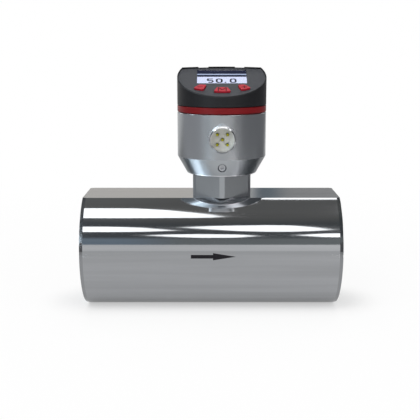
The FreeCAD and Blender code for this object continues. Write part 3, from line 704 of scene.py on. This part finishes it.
def look_at(place, aim):
    """Turn of a lamp that points from its place to an aim."""
    away = place - aim
    flat = math.hypot(away[0], away[1])
    return (math.atan2(flat, away[2]), 0.0, math.atan2(away[1], away[0]) + math.pi / 2)


def glow_finish(name, colour, strength):
    """Material that only shines; where it has no colour, a field is linked to its Emission node."""
    material = bpy.data.materials.new(name)
    material.use_nodes = True
    tree = material.node_tree
    tree.nodes.remove(tree.nodes["Principled BSDF"])
    glow = tree.nodes.new("ShaderNodeEmission")
    glow.inputs["Strength"].default_value = strength
    if colour:
        glow.inputs["Color"].default_value = opaque(colour)
    tree.links.new(glow.outputs[0], tree.nodes["Material Output"].inputs["Surface"])
    return material


def stage_sheet(name, points, faces, material):
    """A sheet of the stage, which isn't part of the object."""
    mesh = bpy.data.meshes.new(name)
    mesh.from_pydata(points, [], faces)
    mesh.materials.append(material)
    thing = add_object(name, mesh)
    return thing


def grid_sheet(name, points, material):
    """A stage sheet from a grid of points, with a face between each four neighbours."""
    rows, columns = points.shape[:2]
    index = np.arange(rows * columns).reshape(rows, columns)
    faces = np.stack([index[:-1, :-1], index[:-1, 1:], index[1:, 1:], index[1:, :-1]], axis=-1)
    return stage_sheet(name, points.reshape(-1, 3), faces.reshape(-1, 4).tolist(), material)


def mirror_only(thing):
    """Lets only mirror and glass rays meet a sheet."""
    thing.visible_camera = False
    thing.visible_diffuse = False
    thing.visible_volume_scatter = False
    thing.visible_shadow = False


# Operators, one for each group of pieces


class METER_OT_dress_tube(bpy.types.Operator):
    """Polish the meter tube and paint shade on its end bevels"""

    bl_idname = "flow_meter.dress_tube"
    bl_label = "Polish the tube"

    def execute(self, context):
        dress(tube_finish_and_painted_shade(context.scene.meter_colours), "meter_body")
        return {"FINISHED"}


class METER_OT_cut_threads(bpy.types.Operator):
    """Thread both ports with a pipe thread"""

    bl_idname = "flow_meter.cut_threads"
    bl_label = "Thread the ports"

    def execute(self, context):
        sizes = context.scene.meter_threads
        steel = metal_finish("thread_steel", context.scene.meter_colours.tube_steel, 0.2, 3000)
        for name, mouth, way in (("inlet_thread", TUBE_LOW[0], 1), ("outlet_thread", TUBE_HIGH[0], -1)):
            piece = swept(name, self.ridge(sizes, mouth, way))
            piece.data.shade_smooth()
            finish_piece(piece, steel, "meter")
        return {"FINISHED"}

    @staticmethod
    def ridge(sizes, mouth, way):
        """Helix of a rounded ridge, closed by a narrower root inside the bore's wall.

        The place along the axis is the pitch times the turns. The radius is the bore's less the ridge's
        height, which is half its depth times one plus the cosine of the share of a pitch, and which runs
        out to nothing over the first and last third of a turn.
        """
        stations_per_turn = 120
        thinnest = 0.02
        root_half = 0.3
        root_depth = 0.08
        turns = np.linspace(0.0, sizes.turns, sizes.turns * stations_per_turn + 1)
        swell = np.clip(np.minimum(turns, sizes.turns - turns) * 3, thinnest, 1.0)
        share = np.linspace(-0.49, 0.49, 15)
        height = (1 + np.cos(2 * math.pi * share)) / 2
        offset = np.append(share, [root_half, -root_half]) * sizes.pitch
        rise = np.append(height, [-root_depth, -root_depth]) * sizes.depth
        place = sizes.start + np.add.outer(turns * sizes.pitch, offset)
        radius = PORT_RADIUS - np.multiply.outer(swell, rise)
        turn = way * 2 * math.pi * turns[:, None]
        return np.stack([mouth + way * place, radius * np.cos(turn), radius * np.sin(turn)], axis=-1)


class METER_OT_print_arrow(bpy.types.Operator):
    """Print the flow arrow on the front of the tube"""

    bl_idname = "flow_meter.print_arrow"
    bl_label = "Print the arrow"

    def execute(self, context):
        ink = ink_finish("arrow_ink", context.scene.meter_colours.ink)
        piece = swept("flow_arrow", self.sheet(context.scene.meter_prints))
        finish_piece(piece, ink, "meter")
        return {"FINISHED"}

    @staticmethod
    def sheet(sizes):
        """Thin sheet wrapped on the tube: its half width over the radius is its half angle, which is even
        along the tail and shrinks to nothing over the head."""
        shoulder = sizes.arrow_shoulder
        place = np.array([sizes.arrow_tail, shoulder, shoulder + sizes.film, sizes.arrow_tip])
        half = np.array([sizes.arrow_tail_half, sizes.arrow_tail_half, sizes.arrow_head_half, sizes.film])
        share = np.linspace(-1.0, 1.0, 9)
        turn = sizes.arrow_turn + np.multiply.outer(half / TUBE_RADIUS, np.concatenate([share, share[::-1]]))
        radius = np.repeat([TUBE_RADIUS - 2 * sizes.film, TUBE_RADIUS + sizes.film], len(share))
        return np.stack([
            np.broadcast_to(place[:, None], turn.shape), -radius * np.cos(turn), radius * np.sin(turn)
        ], axis=-1)


class METER_OT_dress_inside(bpy.types.Operator):
    """Finish the rotor, its supports and their rings"""

    bl_idname = "flow_meter.dress_inside"
    bl_label = "Finish the rotor and supports"

    def execute(self, context):
        support_steel = metal_finish("support_steel", (0.42, 0.43, 0.44), 0.28, 3500)
        dress(support_steel, "inlet_support", "outlet_support")
        dress(metal_finish("rotor_steel", (0.36, 0.36, 0.37), 0.24, 4500), "rotor")
        dress(
            metal_finish("spring_steel", (0.33, 0.33, 0.34), 0.3, 4000),
            "inlet_retainer", "outlet_retainer", "swivel_circlip", "cap_retainer", "rotor_shaft",
            "main_board_screws", "display_board_screws", "key_domes",
        )
        bearing_bronze = metal_finish("bearing_bronze", (0.50, 0.31, 0.13), 0.45, 6000)
        dress(bearing_bronze, "inlet_bearing", "outlet_bearing")
        return {"FINISHED"}


class METER_OT_dress_neck(bpy.types.Operator):
    """Finish the neck with painted highlights on its corners, its seals and the pickup"""

    bl_idname = "flow_meter.dress_neck"
    bl_label = "Finish the neck and pickup"

    def execute(self, context):
        dress(neck_finish_and_painted_highlight(context.scene.meter_colours), "neck")
        dress(rubber_finish(), "neck_seal", "swivel_seal", "connector_seal", "cap_seal")
        dress(
            moulded_finish("pickup_plastic", (0.06, 0.06, 0.065), 0.5, 2500, 0.006 * MM),
            "pickup_bobbin", "pickup_plug", "main_board_spacers",
        )
        dress(coil_finish_and_painted_shade(), "pickup_coil")
        dress(metal_finish("magnet_iron", (0.2, 0.2, 0.21), 0.4, 3000), "pickup_core", "pickup_magnet")
        return {"FINISHED"}


class METER_OT_dress_housing(bpy.types.Operator):
    """Finish the head's housing with painted highlights on its cone, its lock screw and the boards"""

    bl_idname = "flow_meter.dress_housing"
    bl_label = "Finish the housing"

    def execute(self, context):
        dress(satin_finish_and_painted_highlights(context.scene.meter_colours), "housing")
        dress(metal_finish("screw_steel", (0.42, 0.43, 0.45), 0.3, 4000), "lock_screw")
        dress(board_finish(), "main_board", "display_board")
        return {"FINISHED"}


class METER_OT_dress_plug_inlet(bpy.types.Operator):
    """Finish the plug inlet's shell with painted light and shade, its insert and its pins"""

    bl_idname = "flow_meter.dress_plug_inlet"
    bl_label = "Finish the plug inlet"

    def execute(self, context):
        colours = context.scene.meter_colours
        dress(shell_finish_and_painted_light(), "connector_shell", "connector_nut")
        insert_grey = moulded_finish("insert_grey", colours.insert_grey, 0.5, 3000, 0.004 * MM, 0.1)
        dress(insert_grey, "connector_insert")
        dress(metal_finish("pin_gold", colours.pin_gold, 0.22, 5000), "connector_pins")
        return {"FINISHED"}


class METER_OT_dress_cap(bpy.types.Operator):
    """Finish the display cap, its plate and the trim ring"""

    bl_idname = "flow_meter.dress_cap"
    bl_label = "Finish the display cap"

    def execute(self, context):
        colours = context.scene.meter_colours
        cap_black = moulded_finish("cap_black", colours.cap_black, 0.45, 3500, 0.006 * MM, 0.2, 0.16)
        plate_grey = moulded_finish("plate_grey", colours.plate_grey, 0.5, 5000, 0.010 * MM, 0.25)
        trim_red = moulded_finish("trim_red", colours.trim_red, 0.38, 3000, 0.004 * MM, 0.12, 0.15)
        dress(cap_black, "display_cap")
        dress(plate_grey, "face_plate")
        dress(trim_red, "trim_ring")
        return {"FINISHED"}


class METER_OT_light_screen(bpy.types.Operator):
    """Light the screen and show its reading"""

    bl_idname = "flow_meter.light_screen"
    bl_label = "Light the screen"

    def execute(self, context):
        colours = context.scene.meter_colours
        dress(screen_finish(colours), "display_panel")
        dress(window_finish(), "display_window")
        backlight_white = moulded_finish("backlight_white", (0.8, 0.8, 0.8), 0.5, 2000, 0.004 * MM, 0.05)
        dress(backlight_white, "display_backlight")
        ink = ink_finish("digit_ink", scaled(colours.ink, 2.0))
        for digit in self.reading(context.scene.meter_prints):
            finish_piece(digit, ink, "display")
        return {"FINISHED"}

    @staticmethod
    def reading(sizes):
        """The digits 5 0 . 0: a five of a bar, a stem and a bowl, and superellipse noughts."""
        level = face_level("display_panel")
        middle = sizes.digit_middle
        half = (sizes.digit_width - sizes.digit_stroke) / 2
        rise = (sizes.digit_height - sizes.digit_stroke) / 2
        places = {"five": -4.74 * MM, "nought_1": -1.09 * MM, "nought_2": 4.56 * MM}
        point_place = 1.41 * MM

        def stroke(name, path, closed=False):
            return face_stroke("digit_" + name, path, sizes.digit_stroke, level, sizes.film, closed)

        left = places["five"] - half
        right = places["five"] + half
        top = middle + rise
        waist = middle + 0.16 * rise
        foot = middle - rise
        bowl_centre = (places["five"] + 0.1 * half, (waist + foot) / 2)
        bowl_reach = (0.9 * half, (waist - foot) / 2)
        bowl = bend(bowl_centre, bowl_reach, 90, -150, 40)
        five = np.concatenate([
            straight((right, top), (left, top), 12)[:-1],
            straight((left, top), (left, waist), 12)[:-1],
            straight((left, waist), bowl[0], 8)[:-1],
            bowl,
        ])
        made = [stroke("five", five)]
        for name in ("nought_1", "nought_2"):
            made.append(stroke(name, rounded_loop((places[name], middle), (half, rise)), True))
        dot = sizes.digit_stroke / 2
        made.append(stroke("point", straight((point_place - dot, foot), (point_place + dot, foot))))
        return made


class METER_OT_dress_keys(bpy.types.Operator):
    """Finish the keys and print their signs"""

    bl_idname = "flow_meter.dress_keys"
    bl_label = "Finish the keys"

    def execute(self, context):
        colours = context.scene.meter_colours
        sizes = context.scene.meter_prints
        dress(
            moulded_finish("key_red", colours.key_red, 0.42, 2500, 0.004 * MM, 0.12, 0.16),
            "minus_button", "mode_button", "plus_button",
        )
        ink = ink_finish("sign_ink", scaled(colours.key_red, 0.12))
        for key, lines in self.signs(sizes.sign_size / 2).items():
            node = key + "_button"
            level = face_level(node)
            centre = self.middle_of(node)
            for index, line in enumerate(lines):
                name = f"{key}_sign_{index}"
                piece = face_stroke(name, centre + line, sizes.sign_stroke, level, sizes.film)
                finish_piece(piece, ink, key + "_key")
        return {"FINISHED"}

    @staticmethod
    def middle_of(node):
        """Middle of a key's top on the face: half way between its ends, across and up the face."""
        points = node_points(node)
        top = points[points @ FACE_OUT > face_level(node) - 0.01 * MM]
        across = top[:, 0] - HEAD_X
        up = top @ FACE_UP - FACE_RISE
        return np.array([(across.min() + across.max()) / 2, (up.min() + up.max()) / 2])

    @staticmethod
    def signs(half):
        """Straight strokes of a minus, an M and a plus about their middles."""
        wide = 1.4 * half
        tall = 1.5 * half
        dip = -0.4 * tall
        return {
            "minus": [straight((-half, 0), (half, 0))],
            "mode": [
                straight((-wide, -tall), (-wide, tall)),
                straight((-wide, tall), (0, dip)),
                straight((0, dip), (wide, tall)),
                straight((wide, tall), (wide, -tall)),
            ],
            "plus": [straight((-half, 0), (half, 0)), straight((0, -half), (0, half))],
        }


class METER_OT_set_stage(bpy.types.Operator):
    """Set the camera, the floor and the studio light"""

    bl_idname = "flow_meter.set_stage"
    bl_label = "Set the stage"

    def execute(self, context):
        stage = context.scene.meter_stage
        context.scene.view_settings.view_transform = "Standard"
        self.place_camera(context.scene, stage)
        self.lay_floor(stage)
        self.light_world(context.scene)
        self.hang_lamps()
        self.raise_dome(stage)
        self.hang_cards(stage)
        self.stand_flags(stage)
        return {"FINISHED"}

    @staticmethod
    def place_camera(scene, stage):
        camera = add_object("camera", bpy.data.cameras.new("camera"))
        camera.location = stage.camera_place
        camera.rotation_euler = (math.pi / 2 - stage.camera_pitch, 0.0, 0.0)
        camera.data.sensor_width = 36.0
        camera.data.lens = stage.lens
        camera.data.clip_start = 0.01
        scene.camera = camera

    @staticmethod
    def lay_floor(stage):
        """Square floor that camera, mirror and glass rays see glow, so that it stays white.

        It glows less near the tube, and in mirrors also behind it and beside it, and under it, where it is a
        painted shadow.
        """
        reach = 12.0
        height = CAD_BOX[0].z
        corners = [(-reach, -reach), (reach, -reach), (reach, reach), (-reach, reach)]
        material, shade, place = new_finish("floor_white", {
            "Base Color": opaque((0.92, 0.92, 0.92)), "Roughness": 0.9, "Specular IOR Level": 0.0,
        })
        tree = material.node_tree
        seen, mirrored = ray_kinds(tree)
        x, y, _ = parts_of(place)
        beside = x.maths("ABSOLUTE", x - TUBE_MIDDLE[0])
        past = x.maths("MAXIMUM", beside - TUBE_MIDDLE[0], 0.0)
        away = (past * past + y * y) ** 0.5
        wide_shade = 0.12
        contact_shade = 1 - wide_shade - stage.floor_glow
        share = stage.floor_glow + contact_shade * step(away, 3.0 * MM, 24.5 * MM)
        share = share + wide_shade * step(away, 50.0 * MM, 300.0 * MM)
        behind = step(y, 30.0 * MM, 80.0 * MM) * (1 - step(y, 300.0 * MM, 500.0 * MM))
        aside = step(beside + 0.25 * y, 50.0 * MM, 150.0 * MM) * (1 - step(y, -50.0 * MM, 0.0))
        # Darker under the tube for mirror rays only: a painted shadow.
        under = 1 - step(away, 8.0 * MM, 22.0 * MM)
        dim = (stage.floor_dim + 0.25 * aside + 0.4 * behind + 0.25 * under) * mirrored
        glow = seen.node("ShaderNodeEmission", inputs={"Color": mixed(dim, (1.0, 1.0, 1.0), (0.0, 0.0, 0.0))})
        whole = seen.node(
            "ShaderNodeMixShader", inputs={0: seen * share, 1: Field(shade.outputs[0]), 2: glow},
        )
        tree.links.new(whole.socket, tree.nodes["Material Output"].inputs["Surface"])
        stage_sheet("floor", [(*corner, height) for corner in corners], [(0, 1, 2, 3)], material)

    @staticmethod
    def light_world(scene):
        """White for camera, mirror and glass rays, and softer for the light that it sheds."""
        world = bpy.data.worlds.new("studio")
        world.use_nodes = True
        scene.world = world
        tree = world.node_tree
        seen, _ = ray_kinds(tree)
        shed = 0.45
        strength = shed + seen * (1 - shed)
        background = tree.nodes["Background"]
        background.inputs["Color"].default_value = (1.0, 1.0, 1.0, 1.0)
        tree.links.new(strength.socket, background.inputs["Strength"])

    @staticmethod
    def hang_lamps():
        """Large soft lamps, each with its place, size and power; steel and glass show the cards instead."""
        aim = np.array([HEAD_X, 0.0, 30.0 * MM])
        lamps = {
            "key_lamp": ((-0.55, -0.75, 0.95), 0.7, 6.0),
            "fill_lamp": ((0.85, -0.65, 0.6), 0.8, 2.5),
            "top_lamp": ((0.05, 0.25, 1.1), 0.9, 4.5),
        }
        for name, (place, size, power) in lamps.items():
            lamp = bpy.data.lights.new(name, "AREA")
            lamp.size = size
            lamp.energy = power
            thing = add_object(name, lamp)
            thing.location = place
            thing.rotation_euler = look_at(np.array(place), aim)
            thing.visible_glossy = False
            thing.visible_transmission = False

    @staticmethod
    def raise_dome(stage):
        """Dark ceiling: part of a sphere up to the zenith, cooler on the left."""
        turn, rise = np.meshgrid(
            np.linspace(0.0, 2 * math.pi, 97), np.linspace(stage.dome_edge, math.pi / 2, 25), indexing="ij"
        )
        points = TUBE_MIDDLE + stage.dome_radius * np.stack(
            [np.cos(rise) * np.sin(turn), -np.cos(rise) * np.cos(turn), np.sin(rise)], axis=-1
        )
        material = glow_finish("dome_dark", None, 1.0)
        tree = material.node_tree
        x, _, z = parts_of(object_place(tree))
        slope = (z - TUBE_MIDDLE[2]) * (1 / stage.dome_radius)
        cool = slope.node("ShaderNodeValToRGB", {"stops": [
            (0.20, (0.28, 0.36, 0.44)),
            (0.36, (0.30, 0.37, 0.44)),
            (0.44, (0.11, 0.12, 0.13)),
            (0.78, (0.12, 0.13, 0.14)),
            (0.90, (0.225, 0.23, 0.23)),
            (1.0, (0.22, 0.22, 0.21)),
        ]}, {"Fac": slope})
        neutral = slope.node("ShaderNodeValToRGB", {"stops": [
            (0.20, (0.28, 0.305, 0.31)),
            (0.36, (0.27, 0.29, 0.295)),
            (0.44, (0.11, 0.12, 0.13)),
            (0.78, (0.11, 0.12, 0.125)),
            (0.90, (0.19, 0.19, 0.185)),
            (1.0, (0.20, 0.20, 0.195)),
        ]}, {"Fac": slope})
        tone = mixed(step(x, -0.35, -0.02), cool, neutral)
        tree.links.new(tone.socket, tree.nodes["Emission"].inputs["Color"])
        mirror_only(grid_sheet("dome", points, material))

    @staticmethod
    def hang_cards(stage):
        """White cards under the ceiling, each a strip between two edges.

        A strip has stations: a side angle, and the elevations of its lower and upper edge, in degrees.
        A soft box also has a tint and its brightness as a share of a card's. A level card lies flat at a
        height, from its front edge to its rear edge, each with the place of its two ends.
        The tube in front of the camera mirrors side angles up to 10 degrees; wider ones light the head.
        The bevels at the tube's ends mirror side angles near 33 degrees, which stay dark, and the screen's
        window mirrors a dark box.
        """
        radius = 0.97 * stage.dome_radius
        white = (1.0, 1.0, 1.0)
        cool = (0.82, 0.93, 1.0)
        warm = (1.0, 0.96, 0.96)
        strips = {
            "long_left": [(-26, 64, 86), (-6, 63.6, 85), (-3.5, 64, 81), (0, 64.4, 71.5), (1, 66.3, 66.7)],
            "low_left": [(-30, 36, 46), (-8, 36, 46), (-5.5, 36.4, 44.2), (-2.8, 38.5, 38.8)],
            "middle_right": [
                (-2.2, 44.6, 45), (0, 41, 47.4), (2.2, 38, 48.3), (4.4, 36.5, 49), (6.5, 36.6, 48.6),
                (8.3, 38, 45), (9.6, 40, 40.6),
            ],
            "low_middle": [
                (-5, 29.2, 29.6), (-3.3, 27, 31), (-1, 25, 31.6), (2.2, 25.3, 31), (3.7, 28.2, 28.6),
            ],
            "low_right": [(7, 29.6, 30), (9.3, 26, 33), (30, 26, 34)],
            "edge_right": [(3.8, 107.4, 108), (5, 107, 112), (21, 107, 113)],
            "top_right": [(11.5, 70, 95), (25, 70, 95)],
            "far_right": [(33.5, 70, 95), (45, 70, 95)],
            "rear_high": [(-19, 116, 126), (19, 117, 124)],
            "rear_low": [(-30, 147, 155), (0, 148, 152), (30, 146, 155)],
        }
        soft_boxes = {
            "left": (cool, 3.0, [(-44, 6, 117), (-34.8, 6, 117)]),
            "top_left": (white, 1.0, [(-36.3, 66, 100), (-32.5, 66, 100)]),
            "inner_left": (cool, 1.7, [(-31.7, 5, 25), (-29.3, 5, 58), (-23, 5, 60)]),
            "front_left": ((0.80, 0.92, 1.0), 0.7, [(-23, 24, 50), (-12, 24, 50)]),
            "right": (warm, 1.4, [(12, 22, 48), (30, 20, 48)]),
            "corner_right": (warm, 1.6, [(37, 12, 26), (39.5, 12, 20)]),
            "screen_dark": ((0.02, 0.02, 0.025), 1.0, [(-12, 128, 139), (12, 128, 139)]),
        }
        cards = {"card_" + name: (white, 1.0, stations) for name, stations in strips.items()}
        cards.update({"box_" + name: box for name, box in soft_boxes.items()})
        for name, (tint, share, stations) in cards.items():
            side, low, high = np.array(stations, float).T
            fine = np.linspace(side[0], side[-1], 49)
            rise = np.linspace(np.interp(fine, side, low), np.interp(fine, side, high), 13, axis=1)
            glow = glow_finish(name, tint, share * stage.card_light)
            mirror_only(grid_sheet(name, sky(fine[:, None], rise, radius), glow))
        near_sides = (HEAD_X - 3.0 * MM, HEAD_X + 6.5 * MM)
        low = CAD_BOX[0].z + 1.0 * MM
        level_cards = {
            "card_near": (white, 1.0, 85.0 * MM, (-0.032, near_sides), (-0.023, near_sides)),
            "card_floor_left": (
                (0.80, 0.92, 1.0), 2.0, low, (-0.21, (-0.107, -0.033)), (-0.12, (-0.054, -0.019)),
            ),
            "card_floor_right": (
                (1.0, 0.95, 0.95), 2.6, low, (-0.21, (0.138, 0.208)), (-0.12, (0.124, 0.158)),
            ),
        }
        for name, (tint, share, height, *edges) in level_cards.items():
            corners = np.array([[(end, edge, height) for end in ends] for edge, ends in edges])
            mirror_only(grid_sheet(name, corners, glow_finish(name, tint, share * stage.card_light)))

    @staticmethod
    def stand_flags(stage):
        """Grey flags that the head's sides and the flat on the tube mirror.

        An upright flag has its place across, its front and rear end, its height and its tone.
        """
        low = CAD_BOX[0].z
        flags = {
            "flag_left": (-0.27, (-0.30, 0.16), 0.17, 0.5),
            "flag_left_low": (-0.27, (-0.55, -0.30), 0.03, 0.5),
            "flag_left_end": (-0.268, (-0.50, -0.40), 0.12, 0.22),
            "flag_right": (0.38, (-0.30, 0.60), 0.17, 0.26),
            "flag_right_low": (0.38, (-0.55, -0.30), 0.03, 0.26),
            "flag_right_end": (0.378, (-0.50, -0.40), 0.12, 0.18),
            "strip_left": (-0.265, (0.08, 0.32), -0.013, 0.2),
            "strip_right": (0.375, (0.08, 0.32), -0.013, 0.1),
        }
        for name, (across, ends, high, tone) in flags.items():
            grid = np.array([[(across, end, low), (across, end, high)] for end in ends])
            mirror_only(grid_sheet(name, grid, glow_finish(name, (tone, tone, 1.04 * tone), 1.0)))
        radius = 0.96 * stage.dome_radius
        side = np.linspace(-40.0, 40.0, 120)[:, None]
        points = sky(side, np.array([[164.0, 178.5]]), radius)
        material = glow_finish("flag_rear", None, 1.0)
        tree = material.node_tree
        across = (parts_of(object_place(tree))[0] - TUBE_MIDDLE[0]) * (1 / radius) + 0.5
        tone = across.node("ShaderNodeValToRGB", {"stops": [
            (0.50, (0.68, 0.655, 0.62)),
            (0.54, (0.68, 0.655, 0.62)),
            (0.545, (0.55, 0.55, 0.54)),
            (0.5615, (0.48, 0.50, 0.51)),
            (0.566, (0.13, 0.16, 0.19)),
            (0.585, (0.16, 0.20, 0.23)),
            (0.61, (0.34, 0.345, 0.35)),
            (0.70, (0.38, 0.38, 0.38)),
        ]}, {"Fac": across})
        tree.links.new(tone.socket, tree.nodes["Emission"].inputs["Color"])
        mirror_only(grid_sheet("flag_rear", points, material))


# Panel and registration


class METER_PT_panel(bpy.types.Panel):
    """Values and steps of the flow meter"""

    bl_idname = "METER_PT_panel"
    bl_label = "Flow meter"
    bl_space_type = "VIEW_3D"
    bl_region_type = "UI"
    bl_category = "Flow meter"

    def draw(self, context):
        for group, _ in GROUPS:
            values = getattr(context.scene, group)
            for name in values.bl_rna.properties.keys():
                if name not in ("rna_type", "name"):
                    self.layout.prop(values, name)
        for operator in OPERATORS:
            self.layout.operator(operator.bl_idname)


GROUPS = (
    ("meter_colours", MeterColours),
    ("meter_prints", MeterPrints),
    ("meter_threads", MeterThreads),
    ("meter_stage", MeterStage),
)
OPERATORS = (
    METER_OT_dress_tube,
    METER_OT_cut_threads,
    METER_OT_print_arrow,
    METER_OT_dress_inside,
    METER_OT_dress_neck,
    METER_OT_dress_housing,
    METER_OT_dress_plug_inlet,
    METER_OT_dress_cap,
    METER_OT_light_screen,
    METER_OT_dress_keys,
    METER_OT_set_stage,
)


def register():
    for name, kind in GROUPS:
        bpy.utils.register_class(kind)
        setattr(bpy.types.Scene, name, PointerProperty(type=kind))
    for kind in OPERATORS:
        bpy.utils.register_class(kind)
    bpy.utils.register_class(METER_PT_panel)


def unregister():
    bpy.utils.unregister_class(METER_PT_panel)
    for kind in reversed(OPERATORS):
        bpy.utils.unregister_class(kind)
    for name, kind in reversed(GROUPS):
        delattr(bpy.types.Scene, name)
        bpy.utils.unregister_class(kind)


def main():
    register()
    bpy.ops.flow_meter.dress_tube()
    bpy.ops.flow_meter.cut_threads()
    bpy.ops.flow_meter.print_arrow()
    bpy.ops.flow_meter.dress_inside()
    bpy.ops.flow_meter.dress_neck()
    bpy.ops.flow_meter.dress_housing()
    bpy.ops.flow_meter.dress_plug_inlet()
    bpy.ops.flow_meter.dress_cap()
    bpy.ops.flow_meter.light_screen()
    bpy.ops.flow_meter.dress_keys()
    bpy.ops.flow_meter.set_stage()


if __name__ == "__main__":
    main()
